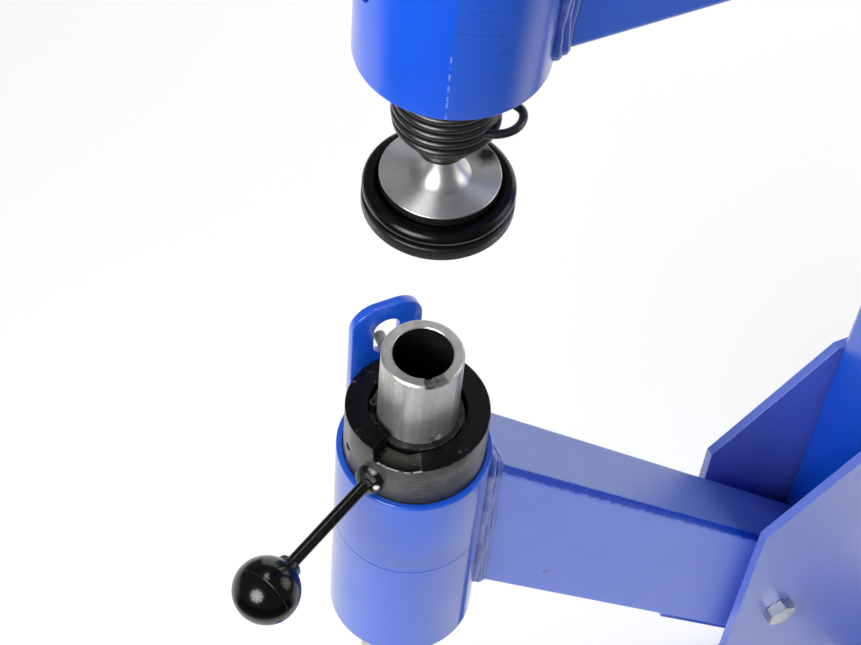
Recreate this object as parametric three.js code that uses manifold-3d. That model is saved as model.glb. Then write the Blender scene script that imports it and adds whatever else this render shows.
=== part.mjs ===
// Pneumatic forming hammer: a C-shaped steel frame holds an air hammer over a height-adjusting anvil tube.
// Millimetres, +Z up, arms along +X, hammer axis on Z, origin on the bench under the hammer axis.
import * as THREE from 'three';
import { mergeVertices } from 'three/addons/utils/BufferGeometryUtils.js';
import Module from 'manifold-3d';

// Driving dimensions. Heights are above the datum, a level 1.3 below the lower sleeve's rim.
// The datum's own height follows from the lower arm, whose heel clears the column flange.
const THROAT_DEPTH = 305;
const ARM_HEEL_CLEARANCE = 91.69;
const GAP = 0.3;
const OVERRUN = 5;

// Sleeves at the ends of the two arms
const SLEEVE_RADIUS = 40;
const LOWER_SLEEVE_TOP = 1.3;
const LOWER_SLEEVE_LENGTH = 149.8;
const LOWER_SLEEVE_WALL = 3.3;
const RIM_ROUNDING = 1.3;
const UPPER_SLEEVE_BOTTOM = 282.5;
const UPPER_SLEEVE_LENGTH = 100;
const UPPER_SLEEVE_CHAMFER = 1;

// Box tube arms and column
const ARM_WIDTH = 46.8;
const ARM_HEIGHT = 83.1;
const ARM_WALL = 4;
const ARM_CORNER = 5;
const ARM_SLOPE = Math.PI / 4;
const LOWER_ARM_LINE = -32.55;
const UPPER_ARM_RISE = 4;
const COLUMN_WIDTH = 60;
const COLUMN_DEPTH = 80;
const COLUMN_WALL = 4;
const COLUMN_CORNER = 6;
const COLUMN_CAP_THICKNESS = 4;

// Stand: two foot bars, a spine tube across them and a bolted flange under the column
const FOOT_THICKNESS = 12;
const FOOT_WIDTH = 60;
const FOOT_LENGTH = 320;
const FOOT_CORNER = 8;
const FOOT_HOLE_RADIUS = 5.5;
const FOOT_HOLE_INSET = 22;
const REAR_FOOT_SETBACK = 45;
const SPINE_WIDTH = 60;
const SPINE_HEIGHT = 40;
const SPINE_WALL = 3;
const SPINE_CORNER = 4;
const SPINE_CAP_FLANGE = 3;
const SPINE_CAP_PLUG = 12;
const FLANGE_THICKNESS = 10;
const FLANGE_OVERHANG = 19;
const FLANGE_CORNER = 6;
const FLANGE_BOLT_INSET = 9.5;
const FLANGE_BOLT_SPREAD = 32;

// Side plates that brace the column and the lower arm, set from the arm's middle at the column
const SIDE_PLATE_THICKNESS = 6;
const SIDE_PLATE_REACH = 74.4;
const SIDE_PLATE_FRONT_ABOVE_ARM = 149.5;
const SIDE_PLATE_FRONT_BELOW_ARM = 60.5;
const SIDE_PLATE_TOP_ABOVE_ARM = 224;
const ARM_BOLT_SETBACK = 41;
const COLUMN_BOLT_HEIGHTS_SHARES = [0.16, 0.86];

// Bolts
const SIDE_BOLT_RADIUS = 6;
const SIDE_BOLT_HEAD_HEIGHT = 7.5;
const SIDE_NUT_HEIGHT = 10;
const FLANGE_BOLT_RADIUS = 4;
const FLANGE_BOLT_HEAD_HEIGHT = 5.3;
const FLANGE_NUT_HEIGHT = 6.5;
const HEX_RADIUS_SHARE = 1.75;
const BOLT_PROTRUSION = 3;
const SPACER_RADIUS = 12;

// Anvil tube, its pin, circlip and guides
const ANVIL_RADIUS = 20.3;
const ANVIL_BORE_RADIUS = 14.8;
const ANVIL_TOP = 78.7;
const ANVIL_LENGTH = 294;
const ANVIL_CHAMFER = 1;
const NOTCH_AZIMUTH = -105;
const NOTCH_WIDTH = 3.6;
const NOTCH_DEPTH = 1.8;
const BUSH_TOP = -10;
const BUSH_LENGTH = 130;
const BUSH_BOSS_TOP = 25.4;
const BUSH_BOSS_RADIUS = 24.6;
const PIN_RADIUS = 3.1;
const PIN_REACH = 49;
const PIN_CHAMFER = 0.6;
const CIRCLIP_BOTTOM = 28.5;
const CIRCLIP_THICKNESS = 1.6;
const CIRCLIP_OUTER = 23.3;
const CIRCLIP_GROOVE_DEPTH = 0.9;
const CIRCLIP_GAP_AZIMUTH = 163;
const CIRCLIP_GAP_HALF_ANGLE = 14;
const CIRCLIP_LUG_ANGLE = 19;
const CIRCLIP_LUG_RADIUS = 2.3;
const CIRCLIP_LUG_PLACE = 22.3;
const CIRCLIP_EYE_RADIUS = 1;

// Slotted guide tab
const TAB_WIDTH = 38.4;
const TAB_OFFSET = 0.7;
const TAB_THICKNESS = 5;
const TAB_TOP = 65.6;
const TAB_BOTTOM = -45;
const TAB_CORNER = 14;
const SLOT_WIDTH = 14;
const SLOT_BOTTOM = 28;
const SLOT_TOP = 54.5;

// Face cam and its lever
const CAM_RADIUS = 36.3;
const CAM_BORE_RADIUS = 25;
const CAM_LOW = 27.4;
const CAM_RISE = 10;
const CAM_STEP_AZIMUTH = -151.4;
const CAM_STEP_SHARE = 0.001;
const FOLLOWER_AZIMUTH = 90;
// Each entry is a share of the turn after the step and a share of the rise; the last stretch lifts the pin
const CAM_PROFILE_SHARES = [
  [0, 0], [0.083, 0], [0.115, 0.27], [0.2, 0.46], [0.36, 0.56], [0.499, 0.65],
  [0.501, 0], [0.5556, 0], [0.999, 1],
];
const CAM_HOLE_AZIMUTH = 176;
const CAM_HOLE_HEIGHT = 15;
const CAM_HOLE_RADIUS = 2.4;
const CAM_HOLE_DEPTH = 5;
const LEVER_AZIMUTH = -151.5;
const LEVER_HEIGHT = 12.6;
const LEVER_RADIUS = 3.2;
const LEVER_SOCKET_DEPTH = 7;
const LEVER_COLLAR_RADIUS = 7;
const LEVER_COLLAR_LENGTH = 4;
const KNOB_RADIUS = 16.6;
const KNOB_PLACE = 117.4;
const KNOB_NECK_RADIUS = 6.6;
const KNOB_NECK_LENGTH = 2.4;
const KNOB_BORE_DEPTH = 20;

// Air hammer
const BARREL_RADIUS = 25;
const BARREL_DROP = 30.5;
const BARREL_SHOULDER_CLEARANCE = 6.4;
const BARREL_PROTRUSION = 15.5;
const NOSE_CHAMFER = 1.5;
const SHANK_CLEARANCE = 0.35;
const CYLINDER_RADIUS = 12;
const CYLINDER_FLOOR = 1.7;
const PISTON_CLEARANCE = 0.3;
const PISTON_LENGTH = 42;
const PISTON_GROOVE = 0.6;
const PISTON_STROKE = 40;
const BACKHEAD_RADIUS = 27;
const BACKHEAD_HEIGHT = 38;
const BACKHEAD_SPIGOT = 10;
const BACKHEAD_CHAMFER = 2;
const AIRWAY_RADIUS = 4;
const INLET_THREAD_RADIUS = 6.8;
const INLET_THREAD_DEPTH = 12;
const NIPPLE_HEX_RADIUS = 10;
const NIPPLE_HEX_HEIGHT = 8;
const NIPPLE_PLUG_RADIUS = 6;
const NIPPLE_PLUG_LENGTH = 26;
const NIPPLE_WAIST_RADIUS = 4.6;
const NIPPLE_BORE_RADIUS = 3;
const REGULATOR_STEM_RADIUS = 3.1;
const REGULATOR_STEM_START = 9;
const REGULATOR_KNOB_RADIUS = 11;
const REGULATOR_KNOB_LENGTH = 13;
const REGULATOR_FLUTES = 12;
const REGULATOR_FLUTE_DEPTH = 0.9;
const SET_SCREW_RADIUS = 4;
const SET_SCREW_LENGTH = 11;
const SET_SCREW_HEIGHTS_SHARES = [0.435, 0.735];
const SET_SCREW_HEX_RADIUS = 2.3;
const SET_SCREW_HEX_DEPTH = 4;

// Retaining spring
const SPRING_WIRE_RADIUS = 1.9;
const SPRING_RADIUS = 21.2;
const SPRING_TIP_RADIUS = 8.9;
const SPRING_DROP = 59.5;
const SPRING_PITCH = 4.6;
const SPRING_TIP_TURNS = 0.75;
const SPRING_CONE_TURNS = 3.75;
const SPRING_BODY_TURNS = 10;
const SPRING_STEPS_PER_TURN = 14;
const SPRING_SIDES = 5;
const EAR_AZIMUTH = -34;
const EAR_REACH = 10.6;
const EAR_RISE_ANGLE = 42;
const EAR_FALL_ANGLE = 24;
const EAR_TURN = 5.75;
const EAR_STEEPNESS = 1.15;

// Upper die with its rubber ring and crowned face
const DIE_RADIUS = 26.2;
const DIE_DROP = 73.8;
const DIE_DISC_THICKNESS = 4.4;
const DIE_HUB_RADIUS = 25;
const DIE_FLARE_RADIUS = 13.2;
const DIE_FLARE_HEIGHT = 13.5;
const DIE_SHANK_RADIUS = 6.35;
const DIE_TRAVEL = 6;
const DIE_COLLAR_RADIUS = 9.4;
const DIE_COLLAR_CLEARANCE = 0.9;
const DIE_COLLAR_HEIGHT = 8;
const RING_MINOR_RADIUS = 4;
const RING_DROP = 8.1;
const FACE_RADIUS = 33.4;
const FACE_DROP = 12.3;
const FACE_EDGE_THICKNESS = 7.4;
const FACE_CROWN = 3.6;
const FACE_EDGE_ROUNDING = 1.6;

// Facets
const ROUND_SEGMENTS = 48;
const SMALL_SEGMENTS = 24;
const TINY_SEGMENTS = 16;
const CORNER_SEGMENTS = 3;
const HEX = 6;
const WELD_TOLERANCE = 1e-4;

const paint = new THREE.MeshStandardMaterial({ color: 0x1c55d8, roughness: 0.28, metalness: 0.1 });
const blackSteel = new THREE.MeshStandardMaterial({ color: 0x1b1b1c, roughness: 0.45, metalness: 0.7 });
const brightSteel = new THREE.MeshStandardMaterial({ color: 0xb4b4b0, roughness: 0.3, metalness: 1 });
const zincSteel = new THREE.MeshStandardMaterial({ color: 0xa8abad, roughness: 0.38, metalness: 0.9 });
const rubber = new THREE.MeshStandardMaterial({ color: 0x0f0f10, roughness: 0.4, metalness: 0 });
const blackPlastic = new THREE.MeshStandardMaterial({ color: 0x101011, roughness: 0.15, metalness: 0 });

const wasm = await Module();
wasm.setup();
const radians = THREE.MathUtils.degToRad;

function signedVolume(positions, triangles) {
  const a = new THREE.Vector3();
  const b = new THREE.Vector3();
  const c = new THREE.Vector3();
  let volume = 0;
  for (let i = 0; i < triangles.length; i += 3) {
    a.fromBufferAttribute(positions, triangles[i]);
    b.fromBufferAttribute(positions, triangles[i + 1]);
    c.fromBufferAttribute(positions, triangles[i + 2]);
    volume += a.dot(b.cross(c));
  }
  return volume;
}

// One closed mesh of shared vertices, without slivers, its faces pointing out
function closed(geometry) {
  const bare = geometry.clone();
  bare.deleteAttribute('normal');
  bare.deleteAttribute('uv');
  const merged = mergeVertices(bare, WELD_TOLERANCE);
  const index = merged.index.array;
  const kept = [];
  for (let i = 0; i < index.length; i += 3) {
    const [a, b, c] = [index[i], index[i + 1], index[i + 2]];
    if (a !== b && b !== c && c !== a) {
      kept.push(a, b, c);
    }
  }
  if (signedVolume(merged.attributes.position, kept) < 0) {
    for (let i = 0; i < kept.length; i += 3) {
      [kept[i], kept[i + 1]] = [kept[i + 1], kept[i]];
    }
  }
  merged.setIndex(kept);
  return merged;
}

function solid(geometry) {
  const mesh = closed(geometry);
  return new wasm.Manifold(new wasm.Mesh({
    numProp: 3,
    vertProperties: new Float32Array(mesh.attributes.position.array),
    triVerts: new Uint32Array(mesh.index.array),
  }));
}

function geometryOf(manifold) {
  const mesh = manifold.getMesh();
  const geometry = new THREE.BufferGeometry();
  geometry.setAttribute('position', new THREE.BufferAttribute(mesh.vertProperties, 3));
  geometry.setIndex(Array.from(mesh.triVerts));
  return geometry;
}

function cut(geometry, ...tools) {
  return geometryOf(tools.reduce((body, tool) => body.subtract(solid(tool)), solid(geometry)));
}

function join(geometry, ...others) {
  return geometryOf(others.reduce((body, other) => body.add(solid(other)), solid(geometry)));
}

function common(geometry, tool) {
  return geometryOf(solid(geometry).intersect(solid(tool)));
}

// A profile of [radius, height] points turned about the Z axis
function turned(profile, segments = ROUND_SEGMENTS) {
  const points = profile.map(([radius, height]) => new THREE.Vector2(radius, height));
  return new THREE.LatheGeometry(points, segments).rotateX(Math.PI / 2);
}

function ring(inner, outer, bottom, top, segments) {
  return turned([[inner, bottom], [outer, bottom], [outer, top], [inner, top], [inner, bottom]], segments);
}

function rod(radius, bottom, top, segments = TINY_SEGMENTS) {
  const height = top - bottom;
  const cylinder = new THREE.CylinderGeometry(radius, radius, height, segments).rotateX(Math.PI / 2);
  return cylinder.translate(0, 0, bottom + height / 2);
}

function block(x0, x1, y0, y1, z0, z1) {
  const box = new THREE.BoxGeometry(x1 - x0, y1 - y0, z1 - z0);
  return box.translate((x0 + x1) / 2, (y0 + y1) / 2, (z0 + z1) / 2);
}

// Geometry modelled along Z is laid along the radius at an azimuth and a height
function radial(geometry, azimuth, height) {
  return geometry.rotateY(Math.PI / 2).rotateZ(radians(azimuth)).translate(0, 0, height);
}

// Geometry modelled along Z is laid along Y
function crosswise(geometry, x, z) {
  return geometry.rotateX(-Math.PI / 2).translate(x, 0, z);
}

function roundedPath(path, width, height, radius) {
  const x = width / 2 - radius;
  const y = height / 2 - radius;
  path.absarc(x, y, radius, 0, Math.PI / 2, false);
  path.absarc(-x, y, radius, Math.PI / 2, Math.PI, false);
  path.absarc(-x, -y, radius, Math.PI, 1.5 * Math.PI, false);
  path.absarc(x, -y, radius, 1.5 * Math.PI, 2 * Math.PI, false);
  path.closePath();
  return path;
}

function plate(width, height, radius, thickness) {
  const shape = roundedPath(new THREE.Shape(), width, height, radius);
  return new THREE.ExtrudeGeometry(shape, {
    depth: thickness, bevelEnabled: false, curveSegments: CORNER_SEGMENTS,
  });
}

function boxTube(width, height, radius, wall, length) {
  const shape = roundedPath(new THREE.Shape(), width, height, radius);
  shape.holes.push(roundedPath(new THREE.Path(), width - 2 * wall, height - 2 * wall, radius / 2));
  return new THREE.ExtrudeGeometry(shape, {
    depth: length, bevelEnabled: false, curveSegments: CORNER_SEGMENTS,
  });
}

function hexHead(radius, height) {
  return rod(radius * HEX_RADIUS_SHARE, 0, height, HEX);
}

const hammer = new THREE.Group();
hammer.name = 'forming_hammer';
const atDatum = new THREE.Group();
hammer.add(atDatum);

function add(group, name, geometry, material) {
  const mesh = new THREE.Mesh(closed(geometry), material);
  mesh.name = name;
  group.add(mesh);
  return mesh;
}

// Stand
const spineTop = FOOT_THICKNESS + SPINE_HEIGHT;
const columnFront = THROAT_DEPTH;
const columnRear = THROAT_DEPTH + COLUMN_DEPTH;
const columnCentre = THROAT_DEPTH + COLUMN_DEPTH / 2;
const rearFootPlace = columnRear + REAR_FOOT_SETBACK;
const flangeTop = spineTop + FLANGE_THICKNESS;
const upperArmBottom = UPPER_SLEEVE_BOTTOM + UPPER_ARM_RISE;
const columnTop = upperArmBottom + ARM_HEIGHT;
const armEnd = LOWER_ARM_LINE - columnFront * Math.tan(ARM_SLOPE);
const armHeel = armEnd - ARM_HEIGHT / (2 * Math.cos(ARM_SLOPE));
const plateFoot = armHeel - ARM_HEEL_CLEARANCE;
atDatum.position.z = flangeTop - plateFoot;

function footBar() {
  const bar = plate(FOOT_WIDTH, FOOT_LENGTH, FOOT_CORNER, FOOT_THICKNESS);
  const holes = [-1, 1].map((side) => {
    const hole = rod(FOOT_HOLE_RADIUS, -OVERRUN, FOOT_THICKNESS + OVERRUN);
    return hole.translate(0, side * (FOOT_LENGTH / 2 - FOOT_HOLE_INSET), 0);
  });
  return cut(bar, ...holes);
}

const flangeBolts = [-1, 1].flatMap((end) => [-1, 1].map((side) => ({
  x: columnCentre + end * (COLUMN_DEPTH / 2 + FLANGE_BOLT_INSET),
  y: side * FLANGE_BOLT_SPREAD / 2,
})));

function flangeHoles(bottom, top) {
  const radius = FLANGE_BOLT_RADIUS + GAP;
  return flangeBolts.map(({ x, y }) => rod(radius, bottom, top).translate(x, y, 0));
}

function makeStand() {
  const spineFront = -FOOT_WIDTH / 2;
  const spineLength = rearFootPlace + FOOT_WIDTH / 2 - spineFront;
  add(hammer, 'front_foot_bar', footBar(), paint);
  add(hammer, 'rear_foot_bar', footBar(), paint).position.x = rearFootPlace;

  const tube = boxTube(SPINE_HEIGHT, SPINE_WIDTH, SPINE_CORNER, SPINE_WALL, spineLength);
  tube.rotateY(Math.PI / 2).translate(spineFront, 0, FOOT_THICKNESS + SPINE_HEIGHT / 2);
  const beamHoles = flangeHoles(spineTop - SPINE_WALL - OVERRUN, spineTop + OVERRUN);
  add(hammer, 'spine_beam', cut(tube, ...beamHoles), paint);

  const inner = SPINE_WALL + GAP;
  const plug = plate(SPINE_HEIGHT - 2 * inner, SPINE_WIDTH - 2 * inner, SPINE_CORNER / 2, SPINE_CAP_PLUG);
  const lid = plate(SPINE_HEIGHT, SPINE_WIDTH, SPINE_CORNER, SPINE_CAP_FLANGE);
  lid.translate(0, 0, -SPINE_CAP_FLANGE);
  const cap = join(lid, plug);
  const capCentre = FOOT_THICKNESS + SPINE_HEIGHT / 2;
  const front = cap.clone().rotateY(Math.PI / 2).translate(spineFront, 0, capCentre);
  const rear = cap.clone().rotateY(-Math.PI / 2).translate(spineFront + spineLength, 0, capCentre);
  add(hammer, 'spine_cap_front', front, blackPlastic);
  add(hammer, 'spine_cap_rear', rear, blackPlastic);

  const flange = plate(COLUMN_DEPTH + 2 * FLANGE_OVERHANG, COLUMN_WIDTH, FLANGE_CORNER, FLANGE_THICKNESS);
  flange.translate(columnCentre, 0, spineTop);
  add(hammer, 'column_flange', cut(flange, ...flangeHoles(spineTop - OVERRUN, flangeTop + OVERRUN)), paint);

  flangeBolts.forEach(({ x, y }, i) => {
    const grip = FLANGE_THICKNESS + SPINE_WALL;
    const tip = flangeTop - grip - FLANGE_NUT_HEIGHT - BOLT_PROTRUSION;
    const shank = rod(FLANGE_BOLT_RADIUS, tip, flangeTop + FLANGE_BOLT_HEAD_HEIGHT / 2);
    const head = hexHead(FLANGE_BOLT_RADIUS, FLANGE_BOLT_HEAD_HEIGHT).translate(0, 0, flangeTop);
    add(hammer, `flange_bolt_${i + 1}`, join(head, shank).translate(x, y, 0), zincSteel);
    const nutTop = flangeTop - grip;
    const nut = hexHead(FLANGE_BOLT_RADIUS, FLANGE_NUT_HEIGHT).translate(0, 0, nutTop - FLANGE_NUT_HEIGHT);
    const thread = rod(FLANGE_BOLT_RADIUS + GAP, tip, nutTop + OVERRUN);
    add(hammer, `flange_nut_${i + 1}`, cut(nut, thread).translate(x, y, 0), zincSteel);
  });
}

// Column, side plates and their through-bolts
const sidePlateTop = armEnd + SIDE_PLATE_TOP_ABOVE_ARM;
const armBolt = { x: columnFront - ARM_BOLT_SETBACK, z: armEnd + ARM_BOLT_SETBACK * Math.tan(ARM_SLOPE) };
const columnBolts = COLUMN_BOLT_HEIGHTS_SHARES.map((share) => ({
  x: columnCentre, z: THREE.MathUtils.lerp(plateFoot, sidePlateTop, share),
}));
const sideBolts = [armBolt, ...columnBolts];
const plateInner = COLUMN_WIDTH / 2 + GAP;
const plateOuter = plateInner + SIDE_PLATE_THICKNESS;

function sideBoltHole({ x, z }) {
  const reach = plateOuter + OVERRUN;
  return crosswise(rod(SIDE_BOLT_RADIUS + GAP, -reach, reach), x, z);
}

function sidePlate() {
  const front = columnFront - SIDE_PLATE_REACH;
  const frontTop = armEnd + SIDE_PLATE_FRONT_ABOVE_ARM;
  const frontBottom = armEnd - SIDE_PLATE_FRONT_BELOW_ARM;
  const outline = new THREE.Shape();
  outline.moveTo(front, frontTop);
  outline.lineTo(front + sidePlateTop - frontTop, sidePlateTop);
  outline.lineTo(columnRear, sidePlateTop);
  outline.lineTo(columnRear, plateFoot + GAP);
  outline.lineTo(front + frontBottom - plateFoot, plateFoot + GAP);
  outline.lineTo(front, frontBottom);
  outline.closePath();
  const slab = new THREE.ExtrudeGeometry(outline, { depth: SIDE_PLATE_THICKNESS, bevelEnabled: false });
  return slab.rotateX(Math.PI / 2).translate(0, SIDE_PLATE_THICKNESS, 0);
}

function makeColumn() {
  const tube = boxTube(COLUMN_DEPTH, COLUMN_WIDTH, COLUMN_CORNER, COLUMN_WALL, columnTop - plateFoot);
  tube.translate(columnCentre, 0, plateFoot);
  add(atDatum, 'column', cut(tube, ...columnBolts.map(sideBoltHole)), paint);
  const cap = plate(COLUMN_DEPTH, COLUMN_WIDTH, COLUMN_CORNER, COLUMN_CAP_THICKNESS);
  add(atDatum, 'column_cap', cap.translate(columnCentre, 0, columnTop), paint);

  const holes = sideBolts.map(sideBoltHole);
  add(atDatum, 'side_plate_left', cut(sidePlate().translate(0, plateInner, 0), ...holes), paint);
  const right = sidePlate().translate(0, -plateOuter, 0);
  add(atDatum, 'side_plate_right', cut(right, ...holes), paint);

  sideBolts.forEach(({ x, z }, i) => {
    const nutFace = plateOuter;
    const tip = nutFace + SIDE_NUT_HEIGHT + BOLT_PROTRUSION;
    const headTop = -plateOuter - SIDE_BOLT_HEAD_HEIGHT;
    const head = hexHead(SIDE_BOLT_RADIUS, SIDE_BOLT_HEAD_HEIGHT).translate(0, 0, headTop);
    const shank = rod(SIDE_BOLT_RADIUS, -plateOuter - SIDE_BOLT_HEAD_HEIGHT / 2, tip);
    add(atDatum, `side_bolt_${i + 1}`, crosswise(join(head, shank), x, z), zincSteel);
    const nut = hexHead(SIDE_BOLT_RADIUS, SIDE_NUT_HEIGHT).translate(0, 0, nutFace);
    const thread = rod(SIDE_BOLT_RADIUS + GAP, 0, tip + OVERRUN);
    add(atDatum, `side_nut_${i + 1}`, crosswise(cut(nut, thread), x, z), zincSteel);
  });

  [-1, 1].forEach((side) => {
    const near = ARM_WIDTH / 2;
    const spacer = ring(SIDE_BOLT_RADIUS + GAP, SPACER_RADIUS, near, plateInner, SMALL_SEGMENTS);
    const name = side > 0 ? 'arm_spacer_left' : 'arm_spacer_right';
    if (side < 0) {
      spacer.rotateX(Math.PI);
    }
    add(atDatum, name, crosswise(spacer, armBolt.x, armBolt.z), zincSteel);
  });
}

// Arms: box tubes cut to fit round the sleeves and square against the column
function sleeveTool() {
  return rod(SLEEVE_RADIUS + GAP, -2 * THROAT_DEPTH, 2 * THROAT_DEPTH, ROUND_SEGMENTS);
}

function makeArms() {
  const reach = [0, columnFront - GAP, -ARM_WIDTH, ARM_WIDTH, -2 * THROAT_DEPTH, 2 * THROAT_DEPTH];
  const along = new THREE.Vector3(Math.cos(ARM_SLOPE), 0, -Math.sin(ARM_SLOPE));
  const across = new THREE.Vector3(0, 1, 0);
  const over = new THREE.Vector3().crossVectors(along, across);
  const length = (THROAT_DEPTH + 2 * ARM_HEIGHT) / Math.cos(ARM_SLOPE);
  const lower = boxTube(ARM_WIDTH, ARM_HEIGHT, ARM_CORNER, ARM_WALL, length);
  lower.translate(0, 0, -ARM_HEIGHT);
  lower.applyMatrix4(new THREE.Matrix4().makeBasis(across, over, along));
  lower.translate(0, 0, LOWER_ARM_LINE);
  const lowerArm = cut(common(lower, block(...reach)), sleeveTool(), sideBoltHole(armBolt));
  add(atDatum, 'lower_arm', lowerArm, paint);

  const upper = boxTube(ARM_HEIGHT, ARM_WIDTH, ARM_CORNER, ARM_WALL, columnFront - GAP);
  upper.rotateY(Math.PI / 2).translate(0, 0, upperArmBottom + ARM_HEIGHT / 2);
  add(atDatum, 'upper_arm', cut(upper, sleeveTool()), paint);
}

// Sleeves and the slotted tab
function roundCorner(profile, radius, top, rounding) {
  for (let i = 0; i <= CORNER_SEGMENTS; i += 1) {
    const angle = (i / CORNER_SEGMENTS) * (Math.PI / 2);
    const x = radius - rounding + rounding * Math.cos(angle);
    profile.push([x, top - rounding + rounding * Math.sin(angle)]);
  }
}

const lowerSleeveBore = SLEEVE_RADIUS - LOWER_SLEEVE_WALL;
const upperSleeveBore = BARREL_RADIUS + GAP;
const setScrewHeights = SET_SCREW_HEIGHTS_SHARES.map((share) => (
  UPPER_SLEEVE_BOTTOM + share * UPPER_SLEEVE_LENGTH
));

function makeSleeves() {
  const bottom = LOWER_SLEEVE_TOP - LOWER_SLEEVE_LENGTH;
  const profile = [[lowerSleeveBore, bottom], [SLEEVE_RADIUS, bottom]];
  roundCorner(profile, SLEEVE_RADIUS, LOWER_SLEEVE_TOP, RIM_ROUNDING);
  profile.push([lowerSleeveBore, LOWER_SLEEVE_TOP], [lowerSleeveBore, bottom]);
  add(atDatum, 'lower_sleeve', turned(profile), paint);

  const top = UPPER_SLEEVE_BOTTOM + UPPER_SLEEVE_LENGTH;
  const edge = SLEEVE_RADIUS - UPPER_SLEEVE_CHAMFER;
  const upper = turned([
    [upperSleeveBore, UPPER_SLEEVE_BOTTOM],
    [edge, UPPER_SLEEVE_BOTTOM],
    [SLEEVE_RADIUS, UPPER_SLEEVE_BOTTOM + UPPER_SLEEVE_CHAMFER],
    [SLEEVE_RADIUS, top - UPPER_SLEEVE_CHAMFER],
    [edge, top],
    [upperSleeveBore, top],
    [upperSleeveBore, UPPER_SLEEVE_BOTTOM],
  ]);
  const holes = setScrewHeights.map((height) => {
    return radial(rod(SET_SCREW_RADIUS + GAP, BARREL_RADIUS, SLEEVE_RADIUS + OVERRUN), 180, height);
  });
  add(atDatum, 'upper_sleeve', cut(upper, ...holes), paint);
  setScrewHeights.forEach((height, i) => {
    const start = BARREL_RADIUS + GAP;
    const end = start + SET_SCREW_LENGTH;
    const socket = rod(SET_SCREW_HEX_RADIUS, end - SET_SCREW_HEX_DEPTH, end + OVERRUN, HEX);
    const screw = cut(rod(SET_SCREW_RADIUS, start, end), socket);
    add(atDatum, `set_screw_${i + 1}`, radial(screw, 180, height), blackSteel);
  });
}

function makeGuideTab() {
  const halfWidth = TAB_WIDTH / 2;
  const shape = new THREE.Shape();
  shape.moveTo(-halfWidth, TAB_BOTTOM);
  shape.lineTo(halfWidth, TAB_BOTTOM);
  shape.absarc(halfWidth - TAB_CORNER, TAB_TOP - TAB_CORNER, TAB_CORNER, 0, Math.PI / 2, false);
  shape.absarc(TAB_CORNER - halfWidth, TAB_TOP - TAB_CORNER, TAB_CORNER, Math.PI / 2, Math.PI, false);
  shape.closePath();
  const slotRadius = SLOT_WIDTH / 2;
  const slot = new THREE.Path();
  slot.absarc(0, SLOT_TOP - slotRadius, slotRadius, 0, Math.PI, false);
  slot.absarc(0, SLOT_BOTTOM + slotRadius, slotRadius, Math.PI, 2 * Math.PI, false);
  slot.closePath();
  shape.holes.push(slot);
  const slab = new THREE.ExtrudeGeometry(shape, {
    depth: TAB_THICKNESS, bevelEnabled: false, curveSegments: 2 * CORNER_SEGMENTS,
  });
  slab.rotateX(Math.PI / 2).translate(TAB_OFFSET, SLEEVE_RADIUS + GAP + TAB_THICKNESS, 0);
  add(atDatum, 'guide_tab', slab, paint);
}

function camHeight(azimuth) {
  const turn = THREE.MathUtils.euclideanModulo(azimuth - CAM_STEP_AZIMUTH, 360) / 360;
  const last = CAM_PROFILE_SHARES.length - 1;
  const found = CAM_PROFILE_SHARES.findIndex(([share]) => share > turn);
  const next = found < 0 ? last : found;
  const [start, low] = CAM_PROFILE_SHARES[next - 1];
  const [end, high] = CAM_PROFILE_SHARES[next];
  return CAM_LOW + CAM_RISE * THREE.MathUtils.mapLinear(turn, start, end, low, high);
}

// The pin lies on the last stretch of the cam, clear of its slope by the usual gap at the bore
function pinHeight() {
  const [start, low] = CAM_PROFILE_SHARES.at(-2);
  const [end, high] = CAM_PROFILE_SHARES.at(-1);
  const slope = (CAM_RISE * (high - low)) / (2 * Math.PI * CAM_BORE_RADIUS * (end - start));
  return camHeight(FOLLOWER_AZIMUTH) + (PIN_RADIUS + GAP) * Math.hypot(1, slope);
}

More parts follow.
